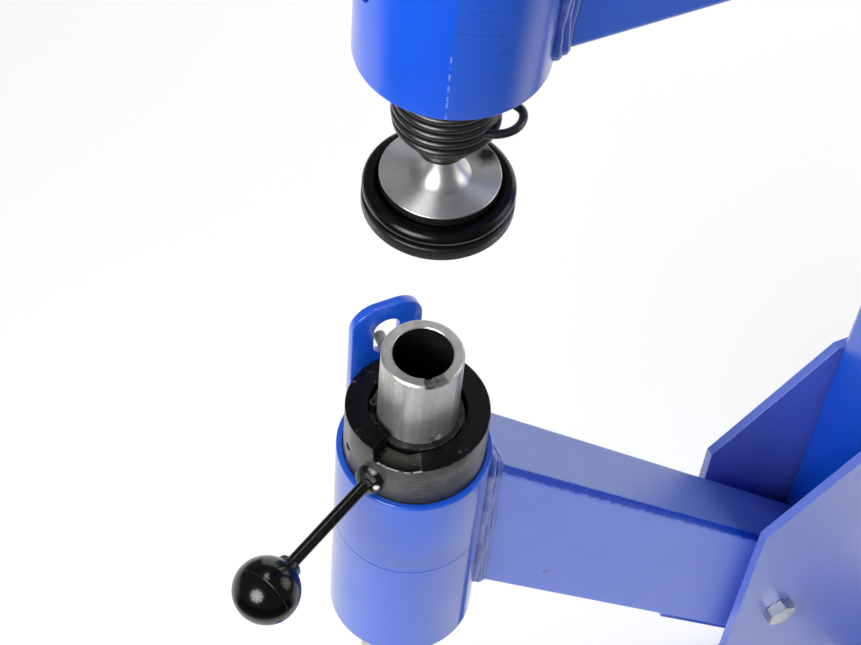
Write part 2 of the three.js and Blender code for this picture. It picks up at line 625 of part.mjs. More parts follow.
// Guide bush, anvil tube, follower pin and circlip
function makeAnvil() {
  const bore = ANVIL_RADIUS + GAP;
  add(atDatum, 'guide_bush', turned([
    [bore, BUSH_TOP - BUSH_LENGTH],
    [lowerSleeveBore - GAP, BUSH_TOP - BUSH_LENGTH],
    [lowerSleeveBore - GAP, BUSH_TOP],
    [BUSH_BOSS_RADIUS, BUSH_TOP],
    [BUSH_BOSS_RADIUS, BUSH_BOSS_TOP],
    [bore, BUSH_BOSS_TOP],
    [bore, BUSH_TOP - BUSH_LENGTH],
  ]), blackSteel);

  const bottom = ANVIL_TOP - ANVIL_LENGTH;
  const grooveRadius = ANVIL_RADIUS - CIRCLIP_GROOVE_DEPTH;
  const circlipTop = CIRCLIP_BOTTOM + CIRCLIP_THICKNESS;
  const tube = turned([
    [ANVIL_BORE_RADIUS, bottom],
    [ANVIL_RADIUS - ANVIL_CHAMFER, bottom],
    [ANVIL_RADIUS, bottom + ANVIL_CHAMFER],
    [ANVIL_RADIUS, CIRCLIP_BOTTOM - GAP],
    [grooveRadius, CIRCLIP_BOTTOM - GAP],
    [grooveRadius, circlipTop + GAP],
    [ANVIL_RADIUS, circlipTop + GAP],
    [ANVIL_RADIUS, ANVIL_TOP - ANVIL_CHAMFER],
    [ANVIL_RADIUS - ANVIL_CHAMFER, ANVIL_TOP],
    [ANVIL_BORE_RADIUS + ANVIL_CHAMFER, ANVIL_TOP],
    [ANVIL_BORE_RADIUS, ANVIL_TOP - ANVIL_CHAMFER],
    [ANVIL_BORE_RADIUS, bottom],
  ]);
  const pinPlace = pinHeight();
  const pinHole = rod(PIN_RADIUS + GAP, 0, ANVIL_RADIUS + OVERRUN);
  const notch = block(
    ANVIL_BORE_RADIUS - OVERRUN, ANVIL_RADIUS - ANVIL_CHAMFER / 2,
    -NOTCH_WIDTH / 2, NOTCH_WIDTH / 2,
    ANVIL_TOP - NOTCH_DEPTH, ANVIL_TOP + OVERRUN,
  ).rotateZ(radians(NOTCH_AZIMUTH));
  add(atDatum, 'anvil_tube', cut(tube, radial(pinHole, FOLLOWER_AZIMUTH, pinPlace), notch), brightSteel);

  const pinStart = ANVIL_BORE_RADIUS + GAP;
  const pin = turned([
    [0, pinStart],
    [PIN_RADIUS, pinStart],
    [PIN_RADIUS, PIN_REACH - PIN_CHAMFER],
    [PIN_RADIUS - PIN_CHAMFER, PIN_REACH],
    [0, PIN_REACH],
  ], TINY_SEGMENTS);
  add(atDatum, 'follower_pin', radial(pin, FOLLOWER_AZIMUTH, pinPlace), zincSteel);
  console.log(`follower pin: height over the datum ${pinPlace.toFixed(3)} mm`);
  add(atDatum, 'circlip', circlip(grooveRadius + GAP), blackSteel);
}

function circlip(innerRadius) {
  const start = radians(CIRCLIP_GAP_AZIMUTH + CIRCLIP_GAP_HALF_ANGLE);
  const end = radians(CIRCLIP_GAP_AZIMUTH - CIRCLIP_GAP_HALF_ANGLE) + 2 * Math.PI;
  const shape = new THREE.Shape();
  shape.absarc(0, 0, CIRCLIP_OUTER, start, end, false);
  shape.absarc(0, 0, innerRadius, end, start, true);
  shape.closePath();
  const settings = { depth: CIRCLIP_THICKNESS, bevelEnabled: false, curveSegments: ROUND_SEGMENTS };
  const band = new THREE.ExtrudeGeometry(shape, settings).translate(0, 0, CIRCLIP_BOTTOM);
  const top = CIRCLIP_BOTTOM + CIRCLIP_THICKNESS;
  const lugAngles = [-1, 1].map((side) => radians(CIRCLIP_GAP_AZIMUTH + side * CIRCLIP_LUG_ANGLE));
  const place = (geometry, angle) => {
    return geometry.translate(CIRCLIP_LUG_PLACE * Math.cos(angle), CIRCLIP_LUG_PLACE * Math.sin(angle), 0);
  };
  const lugs = lugAngles.map((angle) => place(rod(CIRCLIP_LUG_RADIUS, CIRCLIP_BOTTOM, top), angle));
  const eyes = lugAngles.map((angle) => {
    return place(rod(CIRCLIP_EYE_RADIUS, CIRCLIP_BOTTOM - OVERRUN, top + OVERRUN), angle);
  });
  const keepOff = rod(innerRadius, CIRCLIP_BOTTOM - OVERRUN, top + OVERRUN, ROUND_SEGMENTS);
  return cut(join(band, ...lugs), keepOff, ...eyes);
}

// Face cam: two lobes, each a low dwell after a step and then a climb to the next step
function camRing() {
  const shares = CAM_PROFILE_SHARES.map(([share]) => share);
  for (let i = 1; i < ROUND_SEGMENTS; i += 1) {
    const share = i / ROUND_SEGMENTS;
    if (shares.every((other) => Math.abs(share - other) > 2 * CAM_STEP_SHARE)) {
      shares.push(share);
    }
  }
  const stations = shares.sort((a, b) => a - b).map((share) => CAM_STEP_AZIMUTH + 360 * share);
  const bottom = BUSH_TOP + GAP;
  const positions = [];
  stations.forEach((station) => {
    const angle = radians(station);
    const top = camHeight(station);
    const corners = [[CAM_BORE_RADIUS, bottom], [CAM_RADIUS, bottom], [CAM_RADIUS, top], [CAM_BORE_RADIUS, top]];
    corners.forEach(([radius, z]) => positions.push(radius * Math.cos(angle), radius * Math.sin(angle), z));
  });
  const index = [];
  stations.forEach((_, i) => {
    const next = (i + 1) % stations.length;
    for (let k = 0; k < 4; k += 1) {
      const [a, b] = [4 * i + k, 4 * i + (k + 1) % 4];
      const [c, d] = [4 * next + k, 4 * next + (k + 1) % 4];
      index.push(a, c, b, b, c, d);
    }
  });
  const geometry = new THREE.BufferGeometry();
  geometry.setAttribute('position', new THREE.Float32BufferAttribute(positions, 3));
  geometry.setIndex(index);
  return geometry;
}

function makeCam() {
  const socketStart = CAM_RADIUS - LEVER_SOCKET_DEPTH;
  const socket = radial(rod(LEVER_RADIUS + GAP, socketStart, CAM_RADIUS + OVERRUN), LEVER_AZIMUTH, LEVER_HEIGHT);
  const hole = rod(CAM_HOLE_RADIUS, CAM_RADIUS - CAM_HOLE_DEPTH, CAM_RADIUS + OVERRUN);
  add(atDatum, 'cam_ring', cut(camRing(), socket, radial(hole, CAM_HOLE_AZIMUTH, CAM_HOLE_HEIGHT)), blackSteel);

  const lever = new THREE.Group();
  lever.position.z = LEVER_HEIGHT;
  lever.rotation.z = radians(LEVER_AZIMUTH);
  atDatum.add(lever);
  const collarStart = CAM_RADIUS + GAP;
  const rodEnd = KNOB_PLACE - KNOB_RADIUS - KNOB_NECK_LENGTH + KNOB_BORE_DEPTH - GAP;
  const leverRod = turned([
    [0, socketStart + GAP],
    [LEVER_RADIUS, socketStart + GAP],
    [LEVER_RADIUS, collarStart],
    [LEVER_COLLAR_RADIUS, collarStart],
    [LEVER_COLLAR_RADIUS, collarStart + LEVER_COLLAR_LENGTH / 3],
    [LEVER_RADIUS, collarStart + LEVER_COLLAR_LENGTH],
    [LEVER_RADIUS, rodEnd],
    [0, rodEnd],
  ], SMALL_SEGMENTS);
  add(lever, 'lever_rod', leverRod.rotateY(Math.PI / 2), blackSteel);

  const neckAngle = Math.PI - Math.asin(KNOB_NECK_RADIUS / KNOB_RADIUS);
  const arcSteps = SMALL_SEGMENTS / 2;
  const profile = [];
  for (let i = 0; i <= arcSteps; i += 1) {
    const angle = (i / arcSteps) * neckAngle;
    profile.push([KNOB_RADIUS * Math.sin(angle), KNOB_RADIUS * Math.cos(angle)]);
  }
  const mouth = -KNOB_RADIUS - KNOB_NECK_LENGTH;
  const boreRadius = LEVER_RADIUS + GAP;
  profile.push(
    [KNOB_NECK_RADIUS, mouth], [boreRadius, mouth],
    [boreRadius, mouth + KNOB_BORE_DEPTH], [0, mouth + KNOB_BORE_DEPTH],
  );
  const knob = add(lever, 'ball_knob', turned(profile, SMALL_SEGMENTS).rotateY(Math.PI / 2), blackPlastic);
  knob.position.x = KNOB_PLACE;
}

// Air hammer: the nose fits the spring, and the heights follow from the upper sleeve
const springTurnCount = SPRING_TIP_TURNS + SPRING_CONE_TURNS + SPRING_BODY_TURNS;
const springBottom = UPPER_SLEEVE_BOTTOM - SPRING_DROP;
const springTop = springBottom + springTurnCount * SPRING_PITCH + SPRING_WIRE_RADIUS;
const shoulder = springTop + BARREL_SHOULDER_CLEARANCE;
const barrelBottom = UPPER_SLEEVE_BOTTOM - BARREL_DROP;
const barrelTop = UPPER_SLEEVE_BOTTOM + UPPER_SLEEVE_LENGTH + BARREL_PROTRUSION;
const cylinderBottom = shoulder + CYLINDER_FLOOR;
const regulatorHeight = barrelTop + BACKHEAD_HEIGHT / 2;
const dieTop = UPPER_SLEEVE_BOTTOM - DIE_DROP;
const ringHeight = dieTop - RING_DROP;
const faceTop = dieTop - FACE_DROP;
const faceEdgeBottom = faceTop - FACE_EDGE_THICKNESS;

function makeAirHammer() {
  const noseBore = DIE_SHANK_RADIUS + SHANK_CLEARANCE;
  const coilFlat = SPRING_RADIUS * Math.cos(Math.PI / SPRING_STEPS_PER_TURN);
  const noseRadius = coilFlat - SPRING_WIRE_RADIUS - GAP;
  const ledge = shoulder + BARREL_RADIUS - noseRadius;
  add(atDatum, 'hammer_barrel', turned([
    [noseBore, barrelBottom],
    [noseRadius - NOSE_CHAMFER, barrelBottom],
    [noseRadius, barrelBottom + NOSE_CHAMFER],
    [noseRadius, shoulder],
    [BARREL_RADIUS, ledge],
    [BARREL_RADIUS, barrelTop],
    [CYLINDER_RADIUS, barrelTop],
    [CYLINDER_RADIUS, cylinderBottom],
    [noseBore, cylinderBottom],
    [noseBore, barrelBottom],
  ]), blackSteel);

  const pistonRadius = CYLINDER_RADIUS - PISTON_CLEARANCE;
  const pistonBottom = cylinderBottom + GAP;
  const waist = PISTON_LENGTH / 3;
  add(atDatum, 'piston', turned([
    [0, pistonBottom],
    [pistonRadius, pistonBottom],
    [pistonRadius, pistonBottom + waist],
    [pistonRadius - PISTON_GROOVE, pistonBottom + waist],
    [pistonRadius - PISTON_GROOVE, pistonBottom + 2 * waist],
    [pistonRadius, pistonBottom + 2 * waist],
    [pistonRadius, pistonBottom + PISTON_LENGTH],
    [0, pistonBottom + PISTON_LENGTH],
  ], SMALL_SEGMENTS), brightSteel);

  const base = barrelTop + GAP;
  const top = base + BACKHEAD_HEIGHT;
  const spigot = CYLINDER_RADIUS - GAP;
  const backhead = turned([
    [AIRWAY_RADIUS, base - BACKHEAD_SPIGOT],
    [spigot, base - BACKHEAD_SPIGOT],
    [spigot, base],
    [BACKHEAD_RADIUS, base],
    [BACKHEAD_RADIUS, top - BACKHEAD_CHAMFER],
    [BACKHEAD_RADIUS - BACKHEAD_CHAMFER, top],
    [INLET_THREAD_RADIUS, top],
    [INLET_THREAD_RADIUS, top - INLET_THREAD_DEPTH],
    [AIRWAY_RADIUS, top - INLET_THREAD_DEPTH],
    [AIRWAY_RADIUS, base - BACKHEAD_SPIGOT],
  ]);
  const stemHole = rod(REGULATOR_STEM_RADIUS + GAP, 0, BACKHEAD_RADIUS + OVERRUN);
  add(atDatum, 'backhead', cut(backhead, radial(stemHole, 180, regulatorHeight)), blackSteel);

  const threadRadius = INLET_THREAD_RADIUS - GAP;
  const hexTop = top + NIPPLE_HEX_HEIGHT;
  const plugTop = hexTop + NIPPLE_PLUG_LENGTH;
  const waistBottom = hexTop + NIPPLE_PLUG_LENGTH * 0.45;
  const waistTop = hexTop + NIPPLE_PLUG_LENGTH * 0.65;
  const nippleBody = turned([
    [0, top - INLET_THREAD_DEPTH + GAP],
    [threadRadius, top - INLET_THREAD_DEPTH + GAP],
    [threadRadius, hexTop],
    [NIPPLE_PLUG_RADIUS, hexTop],
    [NIPPLE_PLUG_RADIUS, waistBottom],
    [NIPPLE_WAIST_RADIUS, waistBottom],
    [NIPPLE_WAIST_RADIUS, waistTop],
    [NIPPLE_PLUG_RADIUS, waistTop],
    [NIPPLE_PLUG_RADIUS, plugTop - NIPPLE_PLUG_RADIUS / 3],
    [NIPPLE_WAIST_RADIUS, plugTop],
    [0, plugTop],
  ], SMALL_SEGMENTS);
  const nippleHex = rod(NIPPLE_HEX_RADIUS, top, hexTop, HEX);
  const nippleBore = rod(NIPPLE_BORE_RADIUS, top - INLET_THREAD_DEPTH - OVERRUN, plugTop + OVERRUN);
  add(atDatum, 'inlet_nipple', cut(join(nippleBody, nippleHex), nippleBore), zincSteel);

  const knobStart = BACKHEAD_RADIUS + GAP;
  const outline = new THREE.Shape();
  const outlineSteps = 4 * REGULATOR_FLUTES;
  for (let i = 0; i < outlineSteps; i += 1) {
    const angle = (i / outlineSteps) * 2 * Math.PI;
    const wave = (1 - Math.cos(REGULATOR_FLUTES * angle)) / 2;
    const radius = REGULATOR_KNOB_RADIUS - REGULATOR_FLUTE_DEPTH * wave;
    const move = i === 0 ? 'moveTo' : 'lineTo';
    outline[move](radius * Math.cos(angle), radius * Math.sin(angle));
  }
  outline.closePath();
  const grip = new THREE.ExtrudeGeometry(outline, { depth: REGULATOR_KNOB_LENGTH, bevelEnabled: false });
  grip.translate(0, 0, knobStart);
  const stem = rod(REGULATOR_STEM_RADIUS, REGULATOR_STEM_START, knobStart + REGULATOR_KNOB_LENGTH / 2);
  add(atDatum, 'regulator_knob', radial(join(grip, stem), 180, regulatorHeight), blackPlastic);
}

// Retaining spring: a flat tip turn, a cone and a body of wire, one body turn bowed out into a finger ear
function smooth(share) {
  const s = THREE.MathUtils.clamp(share, 0, 1);
  return s * s * (3 - 2 * s);
}

function springPoint(turn) {
  const coneShare = (turn - SPRING_TIP_TURNS) / SPRING_CONE_TURNS;
  const coil = THREE.MathUtils.lerp(SPRING_TIP_RADIUS, SPRING_RADIUS, THREE.MathUtils.clamp(coneShare, 0, 1));
  const offset = (turn - EAR_TURN) * 360;
  const reachAngle = offset < 0 ? EAR_RISE_ANGLE : EAR_FALL_ANGLE;
  const bow = smooth(EAR_STEEPNESS * (1 - Math.abs(offset) / reachAngle));
  const radius = coil + EAR_REACH * bow;
  const angle = radians(EAR_AZIMUTH + offset);
  return new THREE.Vector3(
    radius * Math.cos(angle), radius * Math.sin(angle), springBottom + turn * SPRING_PITCH,
  );
}

function springTurns() {
  const turns = SPRING_TIP_TURNS + SPRING_CONE_TURNS + SPRING_BODY_TURNS;
  const step = 1 / SPRING_STEPS_PER_TURN;
  const marks = [];
  let turn = 0;
  while (turn < turns) {
    marks.push(turn);
    const nearEar = Math.abs(turn + step / 2 - EAR_TURN) < 1.1 * EAR_RISE_ANGLE / 360;
    turn += nearEar ? step / 4 : step;
  }
  marks.push(turns);
  return marks;
}

function wireTube(points, radius, sides) {
  const curve = new THREE.CatmullRomCurve3(points);
  const positions = [];
  const index = [];
  const up = new THREE.Vector3(0, 0, 1);
  points.forEach((point, i) => {
    const before = points[Math.max(i - 1, 0)];
    const after = points[Math.min(i + 1, points.length - 1)];
    const tangent = after.clone().sub(before).normalize();
    const side = new THREE.Vector3().crossVectors(tangent, up).normalize();
    const over = new THREE.Vector3().crossVectors(side, tangent);
    for (let k = 0; k < sides; k += 1) {
      const angle = (k / sides) * 2 * Math.PI;
      const place = point.clone().addScaledVector(side, radius * Math.cos(angle));
      place.addScaledVector(over, radius * Math.sin(angle));
      positions.push(place.x, place.y, place.z);
    }
  });
  for (let i = 0; i + 1 < points.length; i += 1) {
    for (let k = 0; k < sides; k += 1) {
      const [a, b] = [i * sides + k, i * sides + (k + 1) % sides];
      index.push(a, b, a + sides, b, b + sides, a + sides);
    }
  }
  const last = (points.length - 1) * sides;
  for (let k = 1; k + 1 < sides; k += 1) {
    index.push(0, k + 1, k, last, last + k, last + k + 1);
  }
  const geometry = new THREE.BufferGeometry();
  geometry.setAttribute('position', new THREE.Float32BufferAttribute(positions, 3));
  geometry.setIndex(index);
  return { geometry, length: curve.getLength() };
}

// The least clear space between stretches of the wire that are at least a third of a turn apart
function leastGap(points, turns, radius) {
  let least = Infinity;
  points.forEach((point, i) => {
    for (let k = i + 1; k < points.length; k += 1) {
      if (turns[k] - turns[i] > 1 / 3) {
        least = Math.min(least, point.distanceTo(points[k]) - 2 * radius);
      }
    }
  });
  return least;
}

function straightEnd(points, fromStart) {
  const [end, next] = fromStart ? [points[0], points[1]] : [points.at(-1), points.at(-2)];
  const run = end.clone().sub(next).normalize().multiplyScalar(2 * SPRING_WIRE_RADIUS);
  return end.clone().add(run);
}

function makeSpring() {
  const turns = springTurns();
  const points = turns.map(springPoint);
  const gap = leastGap(points, turns, SPRING_WIRE_RADIUS);
  console.log(`retaining spring: least gap to itself ${gap.toFixed(2)} mm`);
  const path = [straightEnd(points, true), ...points, straightEnd(points, false)];
  add(atDatum, 'retaining_spring', wireTube(path, SPRING_WIRE_RADIUS, SPRING_SIDES).geometry, blackSteel);
}

// Upper die
function makeUpperDie() {
  const hubBottom = faceTop + GAP;
  const discBottom = dieTop - DIE_DISC_THICKNESS;
  const profile = [
    [0, hubBottom],
    [DIE_HUB_RADIUS, hubBottom],
    [DIE_HUB_RADIUS, discBottom],
    [DIE_RADIUS, discBottom],
    [DIE_RADIUS, dieTop],
    [DIE_FLARE_RADIUS, dieTop],
  ];
  const flareSteps = 6;
  for (let i = 1; i <= flareSteps; i += 1) {
    const angle = (i / flareSteps) * (Math.PI / 2);
    const inward = (DIE_FLARE_RADIUS - DIE_SHANK_RADIUS) * Math.sin(angle);
    profile.push([DIE_FLARE_RADIUS - inward, dieTop + DIE_FLARE_HEIGHT * (1 - Math.cos(angle))]);
  }
  // The collar hangs on the spring's cone, at the turn whose wire just clears its edge
  const seatRadius = DIE_COLLAR_RADIUS + DIE_COLLAR_CLEARANCE + SPRING_WIRE_RADIUS;
  const seatShare = (seatRadius - SPRING_TIP_RADIUS) / (SPRING_RADIUS - SPRING_TIP_RADIUS);
  const collarBottom = springBottom + SPRING_PITCH * (SPRING_TIP_TURNS + SPRING_CONE_TURNS * seatShare);
  const collarTop = collarBottom + DIE_COLLAR_HEIGHT;
  const shankTop = cylinderBottom - DIE_TRAVEL - GAP;
  profile.push(
    [DIE_SHANK_RADIUS, collarBottom],
    [DIE_COLLAR_RADIUS, collarBottom],
    [DIE_COLLAR_RADIUS, collarTop],
    [DIE_SHANK_RADIUS, collarTop],
    [DIE_SHANK_RADIUS, shankTop],
    [0, shankTop],
  );
  add(atDatum, 'upper_die', turned(profile), brightSteel);

  const ringPlace = DIE_HUB_RADIUS + GAP + RING_MINOR_RADIUS;
  const ringSection = TINY_SEGMENTS * 0.6;
  const bumper = new THREE.TorusGeometry(ringPlace, RING_MINOR_RADIUS, ringSection, ROUND_SEGMENTS);
  add(atDatum, 'die_bumper', bumper.translate(0, 0, ringHeight), rubber);

  const crown = [];
  const crownSteps = 6;
  for (let i = 0; i <= crownSteps; i += 1) {
    const share = i / crownSteps;
    const radius = share * (FACE_RADIUS - FACE_EDGE_ROUNDING);
    crown.push([radius, faceEdgeBottom - FACE_CROWN * (1 - share * share)]);
  }
  add(atDatum, 'die_face', turned([
    ...crown,
    [FACE_RADIUS, faceEdgeBottom + FACE_EDGE_ROUNDING],
    [FACE_RADIUS, faceTop - FACE_EDGE_ROUNDING],
    [FACE_RADIUS - FACE_EDGE_ROUNDING, faceTop],
    [0, faceTop],
  ]), blackSteel);
}

makeStand();
makeColumn();
makeArms();
makeSleeves();
makeGuideTab();
makeAnvil();
makeCam();
makeAirHammer();
makeSpring();
makeUpperDie();

export default hammer;
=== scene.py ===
from math import asin, atan2, cos, degrees, pi, radians, sin, sqrt

import bmesh
import bpy
from mathutils import Euler, Matrix, Vector


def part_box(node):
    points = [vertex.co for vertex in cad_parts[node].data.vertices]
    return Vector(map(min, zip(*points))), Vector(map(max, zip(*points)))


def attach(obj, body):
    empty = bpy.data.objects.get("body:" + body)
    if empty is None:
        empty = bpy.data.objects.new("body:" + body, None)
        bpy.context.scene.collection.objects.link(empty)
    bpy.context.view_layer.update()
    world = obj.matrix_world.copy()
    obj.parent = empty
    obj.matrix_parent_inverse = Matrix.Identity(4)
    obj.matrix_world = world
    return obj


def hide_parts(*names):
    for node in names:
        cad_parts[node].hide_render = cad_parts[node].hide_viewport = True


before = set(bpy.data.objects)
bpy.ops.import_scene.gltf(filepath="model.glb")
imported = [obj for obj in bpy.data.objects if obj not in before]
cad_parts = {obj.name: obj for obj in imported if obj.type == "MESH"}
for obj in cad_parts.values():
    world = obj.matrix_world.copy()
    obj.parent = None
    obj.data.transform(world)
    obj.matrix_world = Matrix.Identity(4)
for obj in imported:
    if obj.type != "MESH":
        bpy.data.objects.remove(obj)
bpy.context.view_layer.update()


# Camera and studio: the viewing angle of the photograph, a pale floor, and soft boxes round the hammer.
# The floor is white to the camera and keeps the object's shadow.
MM = 0.001
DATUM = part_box("lower_sleeve")[1].z - 1.3 * MM
CAMERA_PLACE = (-0.268004, -0.483149, 0.828194 + DATUM)
CAMERA_TURN = (37.16127, -3.41702, -24.73687)
PHOTO_WIDTH = 861
FOCAL_PIXELS = 1951.98
SENSOR_WIDTH = 36

camera_data = bpy.data.cameras.new("photo_camera")
camera_data.sensor_fit = "HORIZONTAL"
camera_data.sensor_width = SENSOR_WIDTH
camera_data.lens = SENSOR_WIDTH * FOCAL_PIXELS / PHOTO_WIDTH
camera_data.clip_start = 0.05
camera = bpy.data.objects.new("photo_camera", camera_data)
camera.location = CAMERA_PLACE
camera.rotation_euler = [radians(angle) for angle in CAMERA_TURN]
bpy.context.collection.objects.link(camera)
bpy.context.scene.camera = camera
bpy.context.scene.view_settings.view_transform = "Standard"


class Nodes:
    """Short calls for the nodes of one shader tree."""

    def __init__(self, tree):
        self.tree = tree

    def feed(self, node, inputs):
        """Gives each named input of a node a value, or a link from a socket."""
        for name, value in inputs.items():
            if isinstance(value, bpy.types.NodeSocket):
                self.tree.links.new(value, node.inputs[name])
            else:
                node.inputs[name].default_value = value
        return node

    def add(self, kind, inputs=None, **settings):
        node = self.tree.nodes.new("ShaderNode" + kind)
        for name, value in settings.items():
            setattr(node, name, value)
        return self.feed(node, inputs or {}).outputs

    def math(self, operation, *values):
        return self.add("Math", dict(enumerate(values)), operation=operation)[0]

    def times(self, product, *factors):
        for factor in factors:
            product = self.math("MULTIPLY", product, factor)
        return product

    def fade(self, value, start, end, low=0, high=1):
        """Goes from low to high while the value goes from start to end."""
        return self.add("MapRange", {
            "Value": value, "From Min": start, "From Max": end, "To Min": low, "To Max": high})["Result"]

    def ramp(self, factor, low, high):
        """A grey that goes from low to high with the factor."""
        node = self.tree.nodes.new("ShaderNodeValToRGB")
        for element, level in zip(node.color_ramp.elements, (low, high)):
            element.color = (level, level, level, 1)
        return self.feed(node, {"Fac": factor}).outputs["Color"]

    def between(self, value, low, high):
        return self.times(self.math("GREATER_THAN", value, low), self.math("LESS_THAN", value, high))

    def place(self):
        return self.add("TexCoord")["Object"]

    def noise(self, place, scale, detail):
        return self.add("TexNoise", {"Vector": place, "Scale": scale, "Detail": detail})["Fac"]

    def coordinates(self):
        """The place on the object, and its three parts."""
        place = self.place()
        parts = self.add("SeparateXYZ", {"Vector": place})
        return place, parts["X"], parts["Y"], parts["Z"]


world = bpy.data.worlds.new("studio")
bpy.context.scene.world = world
world.use_nodes = True
sky = Nodes(world.node_tree)
paths = sky.add("LightPath")
seen = sky.math("MAXIMUM", paths["Is Camera Ray"], paths["Is Transmission Ray"])
around = sky.math("MAXIMUM", sky.times(paths["Is Diffuse Ray"], 0.26), 0.13)
sky.feed(sky.tree.nodes["Background"], {"Color": (1, 1, 1, 1), "Strength": sky.math("MAXIMUM", seen, around)})


def studio_lamp(name, shape, azimuth, elevation, distance, size, power):
    """An area lamp aimed at the middle of the throat from a direction in degrees."""
    lamp = bpy.data.lights.new(name, "AREA")
    lamp.shape = shape
    lamp.size, lamp.size_y = size
    lamp.energy = power
    light = bpy.data.objects.new(name, lamp)
    aim = Vector((0, 0, DATUM + 0.1))
    turn = Euler((0, -radians(elevation), radians(azimuth))).to_matrix()
    light.location = aim + turn @ Vector((distance, 0, 0))
    light.rotation_euler = (light.location - aim).to_track_quat("Z", "Y").to_euler()
    light.visible_camera = False
    bpy.context.collection.objects.link(light)
    return lamp


def umbrella(name, azimuth, elevation, power):
    """A round umbrella lit from its middle, with eight ribs that darken it."""
    lamp = studio_lamp(name, "DISK", azimuth, elevation, 1.3, (0.95, 0.95), power)
    lamp.use_nodes = True
    cloth = Nodes(lamp.node_tree)
    across = cloth.add("NewGeometry")["Parametric"]
    centred = cloth.add("VectorMath", {0: across, 1: (0.5, 0.5, 0)}, operation="SUBTRACT")[0]
    cell = cloth.add("SeparateXYZ", {"Vector": centred})
    flat = cloth.add("CombineXYZ", {"X": cell["X"], "Y": cell["Y"]})[0]
    turn = cloth.math("ARCTAN2", cell["Y"], cell["X"])
    rib = cloth.math("ABSOLUTE", cloth.math("SINE", cloth.times(turn, 4)))
    outer = cloth.add("VectorMath", {0: flat}, operation="LENGTH")["Value"]
    strength = cloth.times(cloth.fade(rib, 0.2, 0.8, 0.1, 1.35), cloth.fade(outer, 0.1, 0.5, 1.6, 0.7))
    cloth.feed(cloth.tree.nodes["Emission"], {"Strength": strength})


umbrella("key_umbrella", -150, 27, 16.5)
umbrella("right_umbrella", -17, 23, 3)
studio_lamp("top_lamp", "DISK", 60, 76, 1.5, (0.6, 0.6), 4)
studio_lamp("backdrop_lamp", "RECTANGLE", 45, 8, 1.7, (2.2, 1.3), 10)

# Seen in a glossy surface, the floor glows near the hammer and behind it, and is dark in front of it.
TO_CAMERA = (-0.4848, -0.8746)
bpy.ops.mesh.primitive_plane_add(size=9)
floor = bpy.context.object
floor.name = "studio_floor"
floor_material = bpy.data.materials.new("white_floor")
floor_material.use_nodes = True
ground = Nodes(floor_material.node_tree)
place, x, y, z = ground.coordinates()
forward = ground.math("ADD", ground.times(x, TO_CAMERA[0]), ground.times(y, TO_CAMERA[1]))
far = ground.add("VectorMath", {0: place}, operation="LENGTH")["Value"]
beyond = ground.fade(far, 0.5, 0.64)
in_front = ground.fade(ground.math("DIVIDE", forward, far), -0.1, 0.3)
paths = ground.add("LightPath")
unlit = ground.times(beyond, in_front, paths["Is Glossy Ray"])
mirrored = ground.math("MAXIMUM", paths["Is Glossy Ray"], paths["Is Transmission Ray"])
near_glow = ground.times(ground.math("SUBTRACT", 1, beyond), 0.26)
back_glow = ground.times(beyond, ground.math("SUBTRACT", 1, in_front), 0.6)
reflected = ground.times(mirrored, ground.math("ADD", near_glow, back_glow))
ground.feed(ground.tree.nodes["Principled BSDF"], {
    "Base Color": ground.ramp(unlit, 0.86, 0.05),
    "Roughness": 0.9,
    "Specular IOR Level": 0.1,
    "Emission Color": (1, 1, 1, 1),
    "Emission Strength": ground.math("MAXIMUM", ground.times(paths["Is Camera Ray"], 0.35), reflected),
})
floor.data.materials.append(floor_material)


# Stand: a box-section spine on two flat foot bars, cut from steel, welded and powder coated blue.
# The finish is a thick gloss coat with a faint orange peel, thin on the edges and dusted.
def effect_group(name, **inputs):
    """A shared effect, with numbers for its inputs and a mask for its output."""
    group = bpy.data.node_groups.new(name, "ShaderNodeTree")
    for label, value in inputs.items():
        socket = group.interface.new_socket(label, in_out="INPUT", socket_type="NodeSocketFloat")
        socket.default_value = value
    group.interface.new_socket("Mask", in_out="OUTPUT", socket_type="NodeSocketFloat")
    return Nodes(group), group.nodes.new("NodeGroupInput").outputs, group.nodes.new("NodeGroupOutput")


cloudiness, source, sink = effect_group("cloudiness", Scale=20, Low=0.35, High=0.65, Stretch=1)
squeeze = cloudiness.add("CombineXYZ", {"X": 1, "Y": 1, "Z": source["Stretch"]})[0]
stretched = cloudiness.add("VectorMath", {0: cloudiness.place(), 1: squeeze}, operation="MULTIPLY")[0]
noise = cloudiness.add("TexNoise", {
    "Vector": stretched, "Scale": source["Scale"], "Detail": 5, "Roughness": 0.62})["Fac"]
cloudiness.feed(sink, {"Mask": cloudiness.fade(noise, source["Low"], source["High"])})

specks, source, sink = effect_group("specks", Scale=300, Amount=0.06)
place = specks.place()
cells = specks.add("TexVoronoi", {"Vector": place, "Scale": source["Scale"]})["Distance"]
patches = specks.noise(place, 60, 2)
limit = specks.times(source["Amount"], specks.times(patches, 2))
specks.feed(sink, {"Mask": specks.math("LESS_THAN", cells, limit)})

wear, source, sink = effect_group("edge_wear", Amount=1, Scale=180)
chips = wear.noise(wear.place(), source["Scale"], 6)
rounded = wear.add("Bevel", {"Radius": 0.9 * MM}, samples=4)["Normal"]
normal = wear.add("NewGeometry")["Normal"]
turned_off = wear.add("VectorMath", {0: rounded, 1: normal}, operation="DOT_PRODUCT")["Value"]
edge = wear.fade(turned_off, 0.985, 0.93)
wear.feed(sink, {"Mask": wear.times(edge, wear.fade(chips, 0.5, 0.62), source["Amount"])})


